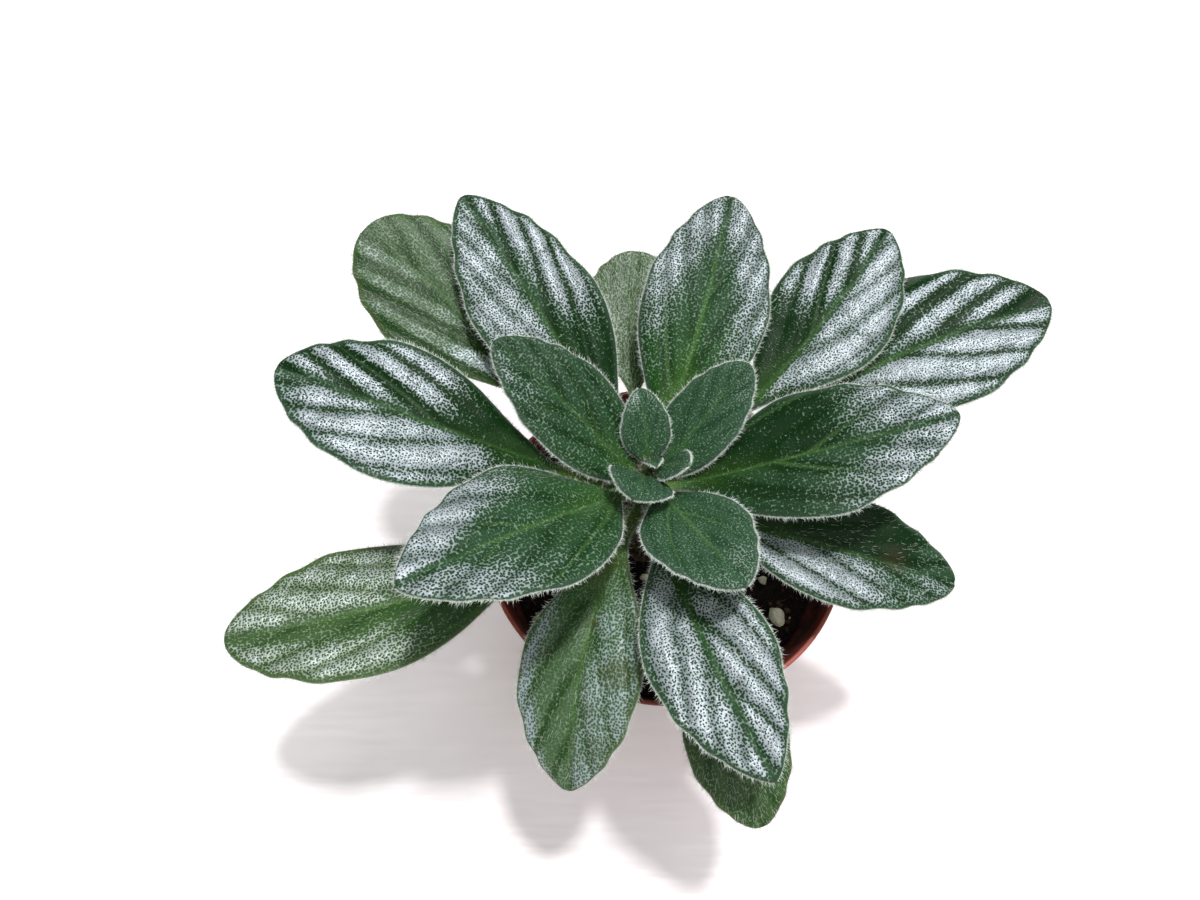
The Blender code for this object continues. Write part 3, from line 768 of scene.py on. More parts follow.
SOIL_RINGS = 88
SOIL_TURNS = 360
CRUMBS = 420
CRUMB_REACH = 38.3
FIBRES = 110
FIBRE_REACH = 37.5
FIBRE_LIMIT = 38.6
# Coarse crumbs banked up round the largest grain of perlite.
BANKED_CRUMBS = 14
BANK_X = 27.0
BANK_Y = -18.9
SOIL_SLOT, FIBRE_SLOT, PERLITE_SLOT = 0, 1, 2

# Perlite grains of the CAD model: middle, sizes, turn.
Grain = collections.namedtuple("Grain", "name x y size_x size_y size_z turn")
GRAINS = (
    Grain("perlite_1", 28.0, -19.7, 4.0, 5.4, 3.4, 20),
    Grain("perlite_2", 25.7, -9.4, 2.6, 2.2, 1.8, 50),
    Grain("perlite_3", -32.0, -20.0, 2.4, 1.8, 1.6, 10),
    Grain("perlite_4", -4.5, -8.5, 2.2, 2.8, 1.8, 75),
)
# Grit that is too small for the CAD model: x, y, diameter.
GRIT = (
    (27.1, -24.6, 1.1),
    (31.6, -19.2, 0.7),
    (-34.6, -16.2, 0.9),
    (-36.4, -8.6, 0.8),
    (-1.5, -13.2, 0.9),
    (9.5, -31.0, 0.8),
    (21.0, -24.5, 0.7),
    (-14.0, 31.0, 1.0),
    (12.0, 33.0, 0.8),
)


def pot_radius(height):
    return POT_BASE_RADIUS + (POT_RIM_RADIUS - POT_BASE_RADIUS) * height / POT_HEIGHT


def soil_wall(height):
    """Radius of the pot's inner wall below the collar."""
    return pot_radius(height) - POT_WALL - POT_COLLAR_STEP


def soil_height(x, y):
    """Height of the uneven soil surface of the CAD model; it is level around the stem."""
    rough = noise_at(np.stack([x / SOIL_LUMP, y / SOIL_LUMP, 0.0 * x + 3.7], -1), 1.0)
    level = np.clip(np.hypot(x - STEM_X, y - STEM_Y) / STEM_SEAT_RADIUS - 1.0, 0.0, 1.0)
    return SOIL_TOP + SOIL_ROUGHNESS * rough * level


def soil_surface(x, y):
    """The same surface with clods and grains, raised a little round each grain of perlite."""
    flat = np.stack([x, y, 0.0 * x], -1)
    clods = 0.55 * noise_at(flat, 3.4, 5.1) + 0.35 * noise_at(flat, 1.5, 9.3)
    clods += 0.16 * noise_at(flat, 0.7, 2.2)
    bank = 0.0 * x
    for grain in GRAINS:
        away = np.hypot(x - grain.x, y - grain.y) / (0.5 * max(grain.size_x, grain.size_y))
        bank = np.maximum(bank, 0.75 * np.exp(-((away / 1.1) ** 2)))
    near_wall = smooth(np.hypot(x, y), 36.0, 39.0)
    return soil_height(x, y) + clods * (1 - 0.4 * near_wall) + bank


def lump(rings, turns):
    """Points and triangles of one smooth ball of diameter 1."""
    polar = np.linspace(0.0, math.pi, rings + 1)[1:-1, None]
    rows = around(np.sin(polar), full_turn(turns), np.cos(polar))
    points, faces = closed_rings(rows, (0.0, 0.0, 1.0), (0.0, 0.0, -1.0), downward=True)
    quads, fans = faces
    return 0.5 * points, np.concatenate([quads[:, [3, 0, 1]], quads[:, [3, 1, 2]], fans])


def crumb_points(draw, ball, size, flatness):
    """One crumb: the ball with random dents, turned at random."""
    dents = noise_at(ball, 0.45, draw.uniform(0.0, 60.0))
    points = ball * (1.0 + 0.45 * dents)[:, None]
    points = points * (size, size * draw.uniform(0.6, 1.0), size * flatness)
    return turned(points, draw.uniform(0.0, math.tau))


def fibre(draw, x, y):
    """A thin bent root or bark fibre lying on the soil."""
    steps = 7
    length = draw.uniform(2.5, 8.0)
    heading = draw.uniform(0.0, math.tau) + np.cumsum(draw.normal(0.0, 0.28, steps))
    rise = draw.normal(0.0, 0.10, steps)
    path = np.cumsum(around(1.0, heading, rise) * length / steps, 0) + (x, y, 0.0)
    path[:, :2] *= np.minimum(FIBRE_LIMIT / np.hypot(path[:, 0], path[:, 1]), 1.0)[:, None]
    arch = 0.15 + 0.35 * np.sin(np.linspace(0, math.pi, steps))
    path[:, 2] = soil_surface(path[:, 0], path[:, 1]) + arch
    radius = draw.uniform(0.09, 0.24) * np.array([0.5, 0.9, 1.0, 1.0, 0.9, 0.7, 0.35])
    aside = around(1.0, heading + 0.5 * math.pi, 0.0)
    rings = []
    for angle in full_turn(4):
        out = aside * math.cos(angle) + np.array([0.0, 0.0, math.sin(angle)])
        rings.append(path + out * radius[:, None])
    numbers = np.arange(4 * steps).reshape(steps, 4)
    faces = [grid_faces(closed(numbers)), numbers[:1, ::-1], numbers[-1:]]
    return Body(np.stack(rings, 1).reshape(-1, 3), faces, FIBRE_SLOT)


def soil_body():
    """The closed body of soil: a rough top, its side against the wall and its underside."""
    shares = np.linspace(0.0, 1.0, SOIL_RINGS + 1)[1:, None]
    reach = (0.35 * np.sqrt(shares) + 0.65 * shares) * (soil_wall(SOIL_TOP) - 0.05)
    angles = full_turn(SOIL_TURNS)
    x = reach * np.cos(angles)
    y = reach * np.sin(angles)
    rows = list(np.stack([x, y, soil_surface(x.ravel(), y.ravel()).reshape(x.shape)], -1))
    for height in (SOIL_TOP - 2.5, 30.0, 15.0, SOIL_FOOT + 0.4, SOIL_FOOT):
        inset = 0.05 if height > SOIL_FOOT else 0.5
        rows.append(around(soil_wall(height) - inset, angles, height))
    for share in (0.75, 0.5, 0.25):
        ring = around(share * (soil_wall(SOIL_FOOT) - 0.5), angles, 0.0)
        ring[:, 2] = SOIL_FOOT + 0.15 * noise_at(ring, 3.0)
        rows.append(ring)
    centre = soil_surface(np.zeros(1), np.zeros(1))[0]
    return Body(*closed_rings(rows, (0.0, 0.0, centre), (0.0, 0.0, SOIL_FOOT), downward=True))


def add_soil(materials):
    """Soil with loose crumbs, grit, and bark fibres on top."""
    draw = np.random.default_rng(11)
    bodies = [soil_body()]
    ball, ball_faces = lump(6, 8)
    spots = []
    for number in range(CRUMBS):
        reach = CRUMB_REACH * math.sqrt(draw.uniform(0.0, 1.0))
        angle = draw.uniform(0.0, math.tau)
        size = 0.5 + 1.6 * draw.uniform(0.0, 1.0) ** 2.5
        slot = FIBRE_SLOT if draw.uniform() < 0.22 else SOIL_SLOT
        spots.append((reach * math.cos(angle), reach * math.sin(angle), size, slot, draw.uniform(0.45, 0.9)))
    for number in range(BANKED_CRUMBS):
        angle = draw.uniform(0.0, math.tau)
        reach = draw.uniform(2.4, 5.0)
        x = BANK_X + reach * math.cos(angle)
        y = BANK_Y + reach * math.sin(angle)
        spots.append((x, y, draw.uniform(0.9, 1.9), FIBRE_SLOT, 0.5))
    spots += [(x, y, size, PERLITE_SLOT, 0.8) for x, y, size in GRIT]
    for x, y, size, slot, flatness in spots:
        if math.hypot(x - STEM_X, y - STEM_Y) < STEM_FOOT_RADIUS + 0.5 * size:
            continue
        crumb = crumb_points(draw, ball, size, flatness)
        height = soil_surface(np.array([x]), np.array([y]))[0] + 0.22 * size * flatness
        bodies.append(Body(crumb + (x, y, height), [ball_faces], slot))
    for number in range(FIBRES):
        reach = FIBRE_REACH * math.sqrt(draw.uniform(0.0, 1.0))
        angle = draw.uniform(0.0, math.tau)
        bodies.append(fibre(draw, reach * math.cos(angle), reach * math.sin(angle)))
    finish_piece(build_piece("soil_surface", bodies, materials), "potting_soil", "soil")


def add_grain(grain, material):
    """One angular, porous grain of perlite, bedded in the soil."""
    ball, faces = lump(40, 56)
    seed = grain.x + 2.0 * grain.y
    cut = ball * (1.0 + 0.34 * noise_at(ball, 0.42, seed))[:, None]
    draw = np.random.default_rng(int(1000 + 10 * abs(grain.x)))
    for number in range(9):
        way = unit(draw.normal(0.0, 1.0, 3))
        over = np.maximum(cut @ way - 0.40, 0.0)
        cut = cut - over[:, None] * way * 0.85
    pores = noise_at(cut, 0.07, seed + 3.0)
    cut = cut * (1.0 - 0.10 * np.maximum(pores, 0.0) ** 0.7 + 0.03 * noise_at(cut, 0.16, seed))[:, None]
    points = turned(cut * (grain.size_x, grain.size_y, grain.size_z), math.radians(grain.turn))
    low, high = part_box(grain.name)
    body = Body(points + (np.array(low) + np.array(high)) / 2 / MM, [faces])
    piece = build_piece(grain.name + "_stone", [body], [material], {"pore": np.maximum(pores, 0.0)})
    finish_piece(piece, "perlite", grain.name)


# ---------------------------------------------------------------- pot

POT_SIDES = 144
HOLE_SIDES = 32
RIM_ROUND = 0.42
BASE_ROUND = 0.8


def pot_profile():
    """Radius and height round the wall of the pot, from its foot to its floor."""
    step = POT_COLLAR_STEP
    profile = [(8.0, 0.0), (21.5, 0.0), (23.0, 0.35), (POT_BASE_RADIUS - 2.2, 0.35)]
    profile.append((POT_BASE_RADIUS - 1.6, 0.0))
    for angle in np.linspace(0.0, 0.5 * math.pi, 6):
        radius = POT_BASE_RADIUS - BASE_ROUND + BASE_ROUND * math.sin(angle)
        profile.append((radius, BASE_ROUND * (1 - math.cos(angle))))
    for height in np.linspace(3.0, POT_COLLAR_FOOT - 1.0, 14):
        profile.append((pot_radius(height) - step * height / POT_COLLAR_FOOT, height))
    foot = pot_radius(POT_COLLAR_FOOT)
    profile += [(foot - step, POT_COLLAR_FOOT), (foot - 0.25, POT_COLLAR_FOOT + 0.08)]
    profile += [(foot, POT_COLLAR_FOOT + 0.45), (pot_radius(50.0), 50.0), (pot_radius(53.0), 53.0)]
    middle = POT_RIM_RADIUS - 0.5 * POT_WALL
    for angle in np.linspace(0.0, math.pi, 9):
        radius = middle + 0.5 * POT_WALL * math.cos(angle)
        profile.append((radius, POT_HEIGHT - RIM_ROUND * (1 - math.sin(angle))))
    inner = foot - POT_WALL
    profile += [(pot_radius(50.0) - POT_WALL, 50.0), (inner, POT_COLLAR_FOOT + 0.3)]
    profile.append((inner - step, POT_COLLAR_FOOT - 0.6))
    for height in np.linspace(40.0, POT_FLOOR + 0.5, 8):
        profile.append((soil_wall(height), height))
    return profile + [(soil_wall(POT_FLOOR) - 0.5, POT_FLOOR), (8.0, POT_FLOOR)]


def add_pot(material):
    """The thin pot, turned from its profile, with drain holes."""
    rows = [around(radius, full_turn(POT_SIDES), height) for radius, height in pot_profile()]
    body = Body(*closed_rings(rows, (0.0, 0.0, 0.0), (0.0, 0.0, POT_FLOOR)))
    pot = build_piece("pot_shell", [body], [material])
    cutter = drain_hole_cutter()
    holes = pot.modifiers.new("drain_holes", "BOOLEAN")
    holes.object = cutter
    holes.solver = "EXACT"
    bpy.context.view_layer.update()
    cut = bpy.data.meshes.new_from_object(pot.evaluated_get(bpy.context.evaluated_depsgraph_get()))
    pot.modifiers.clear()
    pot.data = cut
    bpy.data.objects.remove(cutter)
    cut.materials.clear()
    cut.materials.append(material)
    cut.shade_smooth()
    cut.set_sharp_from_angle(angle=math.radians(50.0))
    finish_piece(pot, "pot_plastic", "pot")


def drain_hole_cutter():
    bodies = []
    for turn in full_turn(DRAIN_HOLES):
        middle = around(DRAIN_HOLE_RING, turn, 0.0)
        ends = [middle + (0.0, 0.0, height) for height in (-2 * POT_FLOOR, 2 * POT_FLOOR)]
        rows = [around(DRAIN_HOLE_RADIUS, full_turn(HOLE_SIDES), 0.0) + end for end in ends]
        bodies.append(Body(*closed_rings(rows, *ends)))
    return build_piece("drain_hole_cutter", bodies, [])


# ---------------------------------------------------------------- materials


class Value:
    """An output of a shader node, for sums."""

    def __init__(self, graph, socket):
        self.graph = graph
        self.socket = socket

    def __add__(self, other):
        return self.graph.math("ADD", self, other)

    def __sub__(self, other):
        return self.graph.math("SUBTRACT", self, other)

    def __rsub__(self, other):
        return self.graph.math("SUBTRACT", other, self)

    def __mul__(self, other):
        return self.graph.math("MULTIPLY", self, other)

    __radd__ = __add__
    __rmul__ = __mul__


class Graph:
    """A new material with short ways to add and join its shader nodes.

    Sizes are in millimetres, and a colour is three numbers.
    """

    def __init__(self, name):
        self.material = bpy.data.materials.new(name)
        self.material.use_nodes = True
        self.tree = self.material.node_tree
        self.shader = self.tree.nodes["Principled BSDF"]

    def join(self, value, socket):
        if isinstance(value, Value):
            self.tree.links.new(value.socket, socket)
        else:
            socket.default_value = (*value, 1.0) if socket.type == "RGBA" else value

    def add(self, kind, inputs, output, **settings):
        """One output of a new node with these settings and values for its inputs."""
        node = self.tree.nodes.new(kind)
        for name, value in settings.items():
            setattr(node, name, value)
        for name, value in inputs.items():
            self.join(value, node.inputs[name])
        return Value(self, node.outputs[output])

    def mask(self, name):
        return self.add("ShaderNodeAttribute", {}, "Fac", attribute_name=name)

    def flat(self):
        """Place on the flattened leaf: along it, across it, and the phase between side veins."""
        return self.add("ShaderNodeAttribute", {}, "Vector", attribute_name="flat")

    def place(self):
        """Place in the model, in millimetres."""
        metres = self.add("ShaderNodeTexCoord", {}, "Object")
        return self.add("ShaderNodeVectorMath", {0: metres, "Scale": 1.0 / MM}, 0, operation="SCALE")

    def axis(self, vector, name):
        return self.add("ShaderNodeSeparateXYZ", {0: vector}, name)

    def stretch(self, vector, x, y, z):
        return self.add("ShaderNodeVectorMath", {0: vector, 1: (x, y, z)}, 0, operation="MULTIPLY")

    def math(self, operation, a, b=0.0, clamp=False):
        return self.add("ShaderNodeMath", {0: a, 1: b}, 0, operation=operation, use_clamp=clamp)

    def scale(self, value, low, high, to_low=0.0, to_high=1.0):
        """A soft step from to_low at low to to_high at high."""
        inputs = {"Value": value, "From Min": low, "From Max": high, "To Min": to_low, "To Max": to_high}
        return self.add("ShaderNodeMapRange", inputs, "Result", interpolation_type="SMOOTHSTEP")

    def mix(self, share, a, b):
        return self.add("ShaderNodeMix", {0: share, 6: a, 7: b}, 2, data_type="RGBA")

    def noise(self, place, size, detail=2.0, roughness=0.5, flat=False):
        inputs = {"Vector": place, "Scale": 1.0 / size, "Detail": detail, "Roughness": roughness}
        return self.add("ShaderNodeTexNoise", inputs, "Fac", noise_dimensions="2D" if flat else "3D")

    def cells(self, place, size, randomness=1.0, flat=False):
        """Distance from the nearest of many scattered points, as a share of size."""
        inputs = {"Vector": place, "Scale": 1.0 / size, "Randomness": randomness}
        sides = "2D" if flat else "3D"
        return self.add("ShaderNodeTexVoronoi", inputs, "Distance", voronoi_dimensions=sides)

    def bump(self, height):
        """Relief from a height in millimetres."""
        return self.add("ShaderNodeBump", {"Height": height, "Distance": MM, "Strength": 1.0}, "Normal")

    def set(self, **values):
        for name, value in values.items():
            self.join(value, self.shader.inputs[name.replace("_", " ")])


BLADE = {
    "old": (0.058, 0.120, 0.038),
    "mature": (0.036, 0.088, 0.044),
    "young": (0.040, 0.102, 0.049),
}
# Dark green of the blade: the dark end of its random tone, and painted shade in the valleys, in the pits
# between the fine bumps and near the stalk.
BLADE_DARK_TONE_AND_SHADE = {
    "old": (0.014, 0.052, 0.008),
    "mature": (0.004, 0.027, 0.004),
    "young": (0.012, 0.046, 0.020),
}
PALE_GREEN = (0.120, 0.270, 0.040)
FRESH_GREEN = (0.020, 0.095, 0.010)
GLOSSY_GREEN = (0.096, 0.172, 0.086)
# Painted reflection: the bluish white of the sheen on glossy leaves.
PAINTED_GLOSS_SHEEN = (0.46, 0.56, 0.62)
VEIN_GREEN = (0.095, 0.215, 0.060)
EDGE_GREEN = {
    "old": (0.075, 0.125, 0.038),
    "mature": (0.046, 0.092, 0.052),
    "young": (0.050, 0.100, 0.062),
}
UNDER_GREEN = (0.160, 0.240, 0.120)
UNDER_DEEP = (0.095, 0.165, 0.070)
UNDER_VEIN = (0.230, 0.300, 0.150)
# Painted sheen: the light silver that stands in for the lamps' highlight.
PAINTED_SHEEN_LIGHT = {
    "old": (0.47, 0.535, 0.50),
    "mature": (0.51, 0.565, 0.605),
    "young": (0.42, 0.50, 0.46),
}
# Darker silver of the painted sheen.
PAINTED_SHEEN_DARK = {
    "old": (0.20, 0.26, 0.17),
    "mature": (0.21, 0.255, 0.26),
    "young": (0.17, 0.24, 0.19),
}
# Painted glints: bright dots on the fine bumps where a leaf has little sheen, standing in for the lamps'
# glints.
PAINTED_GLINT_GREEN = {
    "old": (0.150, 0.235, 0.110),
    "mature": (0.165, 0.255, 0.175),
    "young": (0.155, 0.245, 0.172),
}
FELT_WHITE = (0.74, 0.82, 0.74)
LEAF_BROWN = (0.090, 0.055, 0.030)
STALK_COLOUR = {
    "old": (0.130, 0.120, 0.070),
    "mature": (0.120, 0.180, 0.055),
    "young": (0.110, 0.200, 0.075),
}
VEIN_PITCH = 5.5
RIM_FELT = {"old": 0.30, "mature": 0.65, "young": 0.80}
BUMP_SPACING = {"old": 0.62, "mature": 0.60, "young": 0.44}
BUMP_HEIGHT = 0.10
ROUGHNESS = {"old": 0.48, "mature": 0.46, "young": 0.56}
SHINE = {"old": 0.24, "mature": 0.13, "young": 0.12}


def leaf_material(age):
    """Quilted green with painted light: painted sheen on the crests of its fine bumps where the masks let it
    be, and painted shade in the valleys, in the pits and near the stalk.
    """
    g = Graph("leaf_" + age)
    flat = g.flat()
    aside, phase = g.axis(flat, "Y"), g.axis(flat, "Z")
    broad = g.noise(flat, 6.0, flat=True)
    fine = g.noise(flat, 0.50, 2.0, 0.6, flat=True)
    grain = g.noise(flat, 0.30, 0.0, 0.5, flat=True)
    bumps = grain * 0.25 + g.cells(flat, BUMP_SPACING[age], 0.8, flat=True) * 0.75
    from_vein = g.math("PINGPONG", phase, 0.5) * VEIN_PITCH
    line = g.scale(from_vein + fine * 0.25, 0.2, 0.75, 1.0, 0.0)
    from_rib = g.math("ABSOLUTE", aside)
    rib = g.scale(from_rib + fine * 0.35, 0.15, 0.75, 1.0, 0.0)

    # Painted shade: the green darkens off the crests, in the valleys between side veins, and near the stalk;
    # broad and fine noise add random tone.
    shade = g.mask("crest") * 0.45 + (broad * 0.5 + fine * 0.45)
    glossy = g.scale(g.mask("gloss"), 0.35, 0.9, 0.0, 0.8)
    blade = g.mix(glossy, BLADE[age], GLOSSY_GREEN)
    blade = g.mix(g.mask("fresh"), blade, FRESH_GREEN)
    shade = shade - g.mask("deep") * 0.75
    colour = g.mix(g.scale(shade, 0.20, 0.95), BLADE_DARK_TONE_AND_SHADE[age], blade)
    pale = g.mask("pale") * g.scale(broad + fine * 0.4, 0.25, 0.95, 0.6, 1.1)
    colour = g.mix(g.math("MULTIPLY", pale, 0.85, clamp=True), colour, PALE_GREEN)
    colour = g.mix(line * g.mask("veins") * 0.8, colour, VEIN_GREEN)
    rib_strength = g.math("MAXIMUM", g.mask("rib") * 0.8, g.mask("pale") * 0.7)
    colour = g.mix(rib * rib_strength, colour, VEIN_GREEN)
    # Painted shade in the pits between the fine bumps.
    colour = g.mix(g.scale(bumps, 0.22, 0.48, 0.45, 0.0), colour, BLADE_DARK_TONE_AND_SHADE[age])
    edge = g.scale(g.mask("edge") + broad * 1.2, 2.6, 0.9)
    colour = g.mix(edge * 0.7, colour, EDGE_GREEN[age])
    colour = g.mix(g.scale(g.mask("edge") + fine * 0.35, 0.46, 0.2) * RIM_FELT[age], colour, FELT_WHITE)
    brown = g.mask("brown") * g.scale(fine, 0.25, 0.65, 0.45, 1.0)
    # Amount of painted sheen, silver paint for the lamps' highlight, less in the painted shade and the brown
    # marks.
    amount = g.mask("painted_sheen") + g.scale(broad, 0.3, 0.7, -0.1, 0.1)
    amount = amount - (g.mask("deep") * 0.48 + brown * 0.6)
    level = 0.605 - amount * 0.31
    blur = g.scale(glossy, 0.0, 0.8, 0.055, 0.19)
    # Painted highlight: bumps above this level take the painted sheen colour, the rest stays green.
    painted_sheen = g.scale(bumps - level, blur * -1.0, blur)
    # Painted sheen lighter on the crests between side veins, a painted highlight, with random tone.
    uneven = g.noise(flat, 2.2, 1.0, 0.5, flat=True) * 0.45 + broad * 0.35
    uneven = uneven + (g.mask("crest") * 0.3 + fine * 0.25)
    uneven = g.scale(uneven, 0.45, 0.98)
    painted_sheen_colour = g.mix(uneven, PAINTED_SHEEN_DARK[age], PAINTED_SHEEN_LIGHT[age])
    painted_sheen_colour = g.mix(glossy, painted_sheen_colour, PAINTED_GLOSS_SHEEN)
    # Painted glint and sheen colour: green dots where there is little sheen, silver where there is much.
    bright = g.mix(g.scale(amount, -0.05, 0.65), PAINTED_GLINT_GREEN[age], painted_sheen_colour)
    colour = g.mix(painted_sheen, colour, bright)
    colour = g.mix(brown, colour, LEAF_BROWN)
    colour = g.mix(g.mask("stalk"), colour, g.mix(g.scale(fine, 0.3, 0.7), PALE_GREEN, STALK_COLOUR[age]))

    under = g.mask("under")
    lower = g.mix(g.scale(broad * 0.6 + fine * 0.5, 0.35, 0.75), UNDER_DEEP, UNDER_GREEN)
    lower = g.mix(g.math("MAXIMUM", line * 0.8, rib), lower, UNDER_VEIN)
    colour = g.mix(under, colour, lower)

    matte = g.math("MAXIMUM", under, g.mask("stalk"))
    sheen = g.math("SUBTRACT", painted_sheen * g.scale(amount, 0.1, 0.8), matte, clamp=True)
    rough = g.scale(sheen, 0.0, 1.0, ROUGHNESS[age], 0.43)
    rough = rough * g.scale(matte, 0.0, 1.0, 1.0, 1.3) + g.mask("gloss") * -0.14
    relief = (fine * 0.012 + bumps * BUMP_HEIGHT) * g.scale(matte, 0.0, 1.0, 1.0, 0.3)
    relief = relief + g.mask("pillow")
    g.set(Base_Color=colour, Roughness=rough, Normal=g.bump(relief), Specular_IOR_Level=SHINE[age])
    g.set(Metallic=sheen * 0.2)
    return g.material


def hair_material(name, foot, tip):
    g = Graph(name)
    g.set(Base_Color=g.mix(g.mask("tip"), foot, tip), Roughness=0.45)
    return g.material


def stem_material():
    g = Graph("stem_bark")
    place = g.place()
    height = g.axis(place, "Z")
    streaks = g.noise(g.stretch(place, 1.0, 1.0, 0.22), 0.8, 3.0, 0.6)
    broad = g.noise(place, 3.5)
    bark = g.mix(g.scale(streaks, 0.35, 0.65), (0.045, 0.026, 0.014), (0.150, 0.100, 0.055))
    green = g.mix(g.scale(streaks, 0.35, 0.65), (0.070, 0.075, 0.025), (0.135, 0.165, 0.060))
    colour = g.mix(g.scale(height + broad * 10.0, 70.0, 84.0), bark, green)
    colour = g.mix(g.mask("scar") * 0.7, colour, (0.19, 0.135, 0.085))
    g.set(Base_Color=colour, Roughness=0.78, Normal=g.bump(streaks * 0.22))
    return g.material


def soil_material():
    g = Graph("potting_soil")
    place = g.place()
    grains = g.cells(place, 0.55)
    fine = g.noise(place, 0.5, 4.0, 0.65)
    broad = g.noise(place, 5.0)
    colour = g.mix(g.scale(fine, 0.35, 0.70), (0.004, 0.003, 0.003), (0.024, 0.014, 0.010))
    specks = g.scale(g.noise(place, 0.8, 1.0, 0.5), 0.66, 0.72) * g.scale(broad, 0.4, 0.6)
    colour = g.mix(specks, colour, (0.075, 0.042, 0.024))
    damp = g.scale(broad, 0.35, 0.65)
    rough = g.mix(damp, (0.55, 0.55, 0.55), (0.92, 0.92, 0.92))
    relief = fine * 0.3 + grains * -0.18
    g.set(Base_Color=colour, Roughness=rough, Normal=g.bump(relief), Specular_IOR_Level=0.15)
    return g.material


def fibre_material():
    g = Graph("bark_fibre")
    place = g.place()
    fine = g.noise(place, 0.6, 3.0, 0.6)
    broad = g.noise(place, 6.0)
    colour = g.mix(g.scale(fine, 0.3, 0.7), (0.022, 0.011, 0.007), (0.110, 0.055, 0.028))
    colour = g.mix(g.scale(broad, 0.50, 0.60), colour, (0.015, 0.009, 0.007))
    g.set(Base_Color=colour, Roughness=0.8, Normal=g.bump(fine * 0.15))
    return g.material


def perlite_material():
    g = Graph("perlite")
    place = g.place()
    broad = g.noise(place, 2.2)
    fine = g.noise(place, 0.35, 3.0, 0.6)
    holes = g.scale(g.cells(place, 0.42), 0.05, 0.30, 1.0, 0.0)
    colour = g.mix(g.scale(broad, 0.35, 0.65), (1.0, 0.90, 0.63), (0.96, 0.93, 0.80))
    colour = g.mix(g.scale(fine, 0.58, 0.78, 0.0, 0.4), colour, (0.50, 0.40, 0.25))
    colour = g.mix(g.math("MAXIMUM", holes, g.mask("pore")) * 0.6, colour, (0.3, 0.22, 0.12))
    relief = fine * 0.1 + holes * -0.12
    g.set(Base_Color=colour, Roughness=0.85, Normal=g.bump(relief))
    return g.material


def pot_material():
    """Red-brown plastic, darker on the inner wall with soil stain and painted shade, and lighter along the
    top of the rim.
    """
    g = Graph("pot_plastic")
    place = g.place()
    x, y, height = (g.axis(place, name) for name in "XYZ")
    radius = g.math("SQRT", x * x + y * y)
    wall = height * ((POT_RIM_RADIUS - POT_BASE_RADIUS) / POT_HEIGHT) + (POT_BASE_RADIUS - 0.9)
    inside = g.math("LESS_THAN", radius, wall) * g.math("GREATER_THAN", height, 0.7 * POT_FLOOR)
    broad = g.noise(place, 9.0)
    cloud = g.noise(place, 2.5, 3.0, 0.6)
    scratch = g.noise(g.stretch(place, 0.10, 0.10, 1.6), 0.5, 2.0, 0.6)
    colour = g.mix(g.scale(broad, 0.3, 0.7), (0.290, 0.036, 0.022), (0.370, 0.056, 0.034))
    colour = g.mix(g.scale(cloud, 0.52, 0.75, 0.0, 0.35), colour, (0.330, 0.120, 0.090))
    colour = g.mix(g.scale(scratch, 0.66, 0.74, 0.0, 0.30), colour, (0.400, 0.170, 0.130))
    # Lighter along the top of the rim.
    rim = g.scale(height + cloud * 0.5, POT_HEIGHT - 0.55, POT_HEIGHT + 0.1)
    colour = g.mix(rim * 0.45, colour, (0.48, 0.15, 0.11))
    # Darker inner wall: soil stain and painted shade, which fades out towards the rim.
    dirt = g.scale(cloud * 0.6 + broad * 0.5, 0.42, 0.72)
    shade_and_soil = g.mix(dirt, (0.130, 0.020, 0.017), (0.026, 0.007, 0.006))
    above = g.scale(height, POT_HEIGHT - 6.0, POT_HEIGHT - 0.5, 1.0, 0.20)
    colour = g.mix(inside * above, colour, shade_and_soil)
    rough = g.scale(cloud, 0.3, 0.7, 0.36, 0.5) + inside * 0.18
    relief = cloud * 0.03 + scratch * 0.012
    g.set(Base_Color=colour, Roughness=rough, Normal=g.bump(relief), Specular_IOR_Level=0.5)
    return g.material


# ---------------------------------------------------------------- floor, light, camera

FLOOR_REACH = 3000.0
FLOOR_GLOW = 0.26
WORLD_LIGHT = 0.21
WORLD_SEEN = 1.05


def add_floor():
    """White floor with faint streaks, a little brighter to the camera than its light makes it."""
    g = Graph("floor_paint")
    place = g.place()
    grain = g.noise(g.stretch(place, 0.05, 1.0, 1.0), 0.55, 3.0, 0.6)
    brushed = g.noise(g.stretch(place, 0.07, 1.0, 1.0), 2.4, 2.0, 0.6)
    streaks = g.scale(grain * 0.5 + brushed * 0.5, 0.38, 0.62)
    colour = g.mix(streaks, (0.88, 0.815, 0.83), (1.0, 0.945, 0.955))
    seen = g.add("ShaderNodeLightPath", {}, "Is Camera Ray")
    g.set(Base_Color=colour, Roughness=0.8, Specular_IOR_Level=0.2)
    g.set(Emission_Color=(1.0, 1.0, 1.0), Emission_Strength=seen * FLOOR_GLOW)
    corners = np.array([(-1.0, -1.0, 0.0), (1.0, -1.0, 0.0), (1.0, 1.0, 0.0), (-1.0, 1.0, 0.0)])
    body = Body(corners * FLOOR_REACH, [np.array([[0, 1, 2, 3]])])
    floor = build_piece("floor", [body], [g.material])


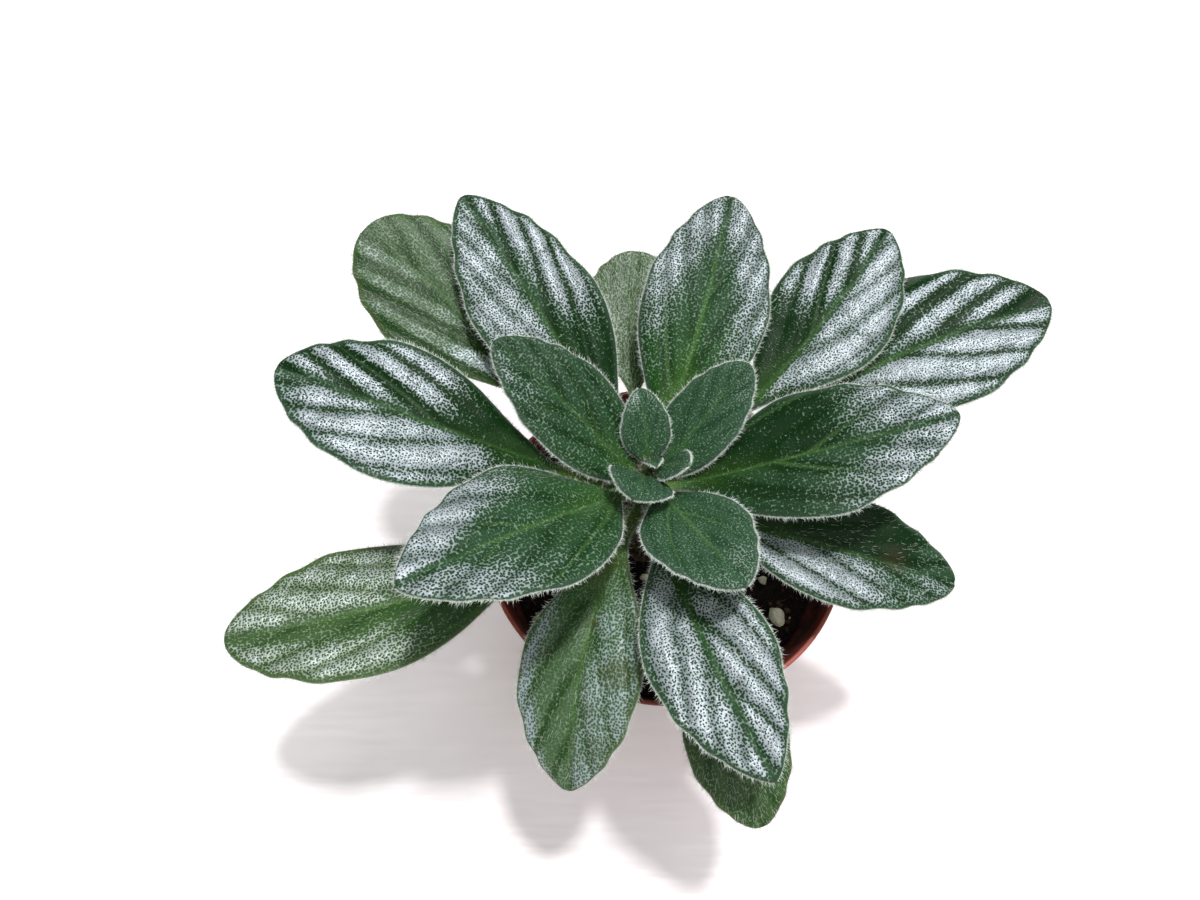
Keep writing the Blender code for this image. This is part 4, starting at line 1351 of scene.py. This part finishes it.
def add_sun(name, direction, angle, whiteness):
    """A lamp from this direction; whiteness is how bright it alone makes white paper that faces it."""
    light = bpy.data.lights.new(name, "SUN")
    light.energy = whiteness * math.pi
    light.angle = math.radians(angle)
    lamp = add_object(name, light)
    lamp.rotation_euler = Vector(direction).to_track_quat("Z", "Y").to_euler()


def add_world():
    """Even grey light all round, seen as white by the camera."""
    world = bpy.data.worlds.new("studio")
    world.use_nodes = True
    nodes, links = world.node_tree.nodes, world.node_tree.links
    background = nodes["Background"]
    background.inputs["Color"].default_value = (0.97, 0.98, 1.0, 1.0)
    path = nodes.new("ShaderNodeLightPath")
    level = nodes.new("ShaderNodeMapRange")
    level.inputs["To Min"].default_value = WORLD_LIGHT
    level.inputs["To Max"].default_value = WORLD_SEEN
    links.new(path.outputs["Is Camera Ray"], level.inputs["Value"])
    links.new(level.outputs["Result"], background.inputs["Strength"])
    bpy.context.scene.world = world


def add_camera():
    data = bpy.data.cameras.new("camera")
    data.sensor_width = 36.0
    data.lens = 26.1
    data.clip_start = 0.005
    camera = add_object("camera", data)
    camera.location = Vector((-16.08, -106.47, 249.57)) * MM
    camera.rotation_euler = (math.radians(34.0), 0.0, 0.0)
    bpy.context.scene.camera = camera


# ---------------------------------------------------------------- the scene

bpy.context.scene.view_settings.view_transform = "Standard"
add_world()
add_sun("key_lamp", direction=(0.14, 0.08, 1.0), angle=5.0, whiteness=0.56)
add_sun("soft_box", direction=(0.16, 0.365, 1.0), angle=30.0, whiteness=0.26)
add_sun("front_fill", direction=(0.30, -0.50, 1.0), angle=30.0, whiteness=0.20)
add_floor()
add_camera()
add_pot(pot_material())
stone = perlite_material()
add_soil([soil_material(), fibre_material(), stone])
for grain in GRAINS:
    add_grain(grain, stone)
stem_hair = hair_material("stem_hair", (0.34, 0.26, 0.17), (0.88, 0.86, 0.80))
add_stem([stem_material(), stem_hair])
hair = hair_material("white_hair", (0.88, 0.96, 0.87), (0.97, 1.00, 0.97))
blades = {age: leaf_material(age) for age in ("old", "mature", "young")}
for number, leaf in enumerate(LEAVES):
    piece = leaf_piece(leaf, [blades[leaf.age], hair], number + 1)
    finish_piece(piece, "leaf_" + leaf.age, leaf.name)
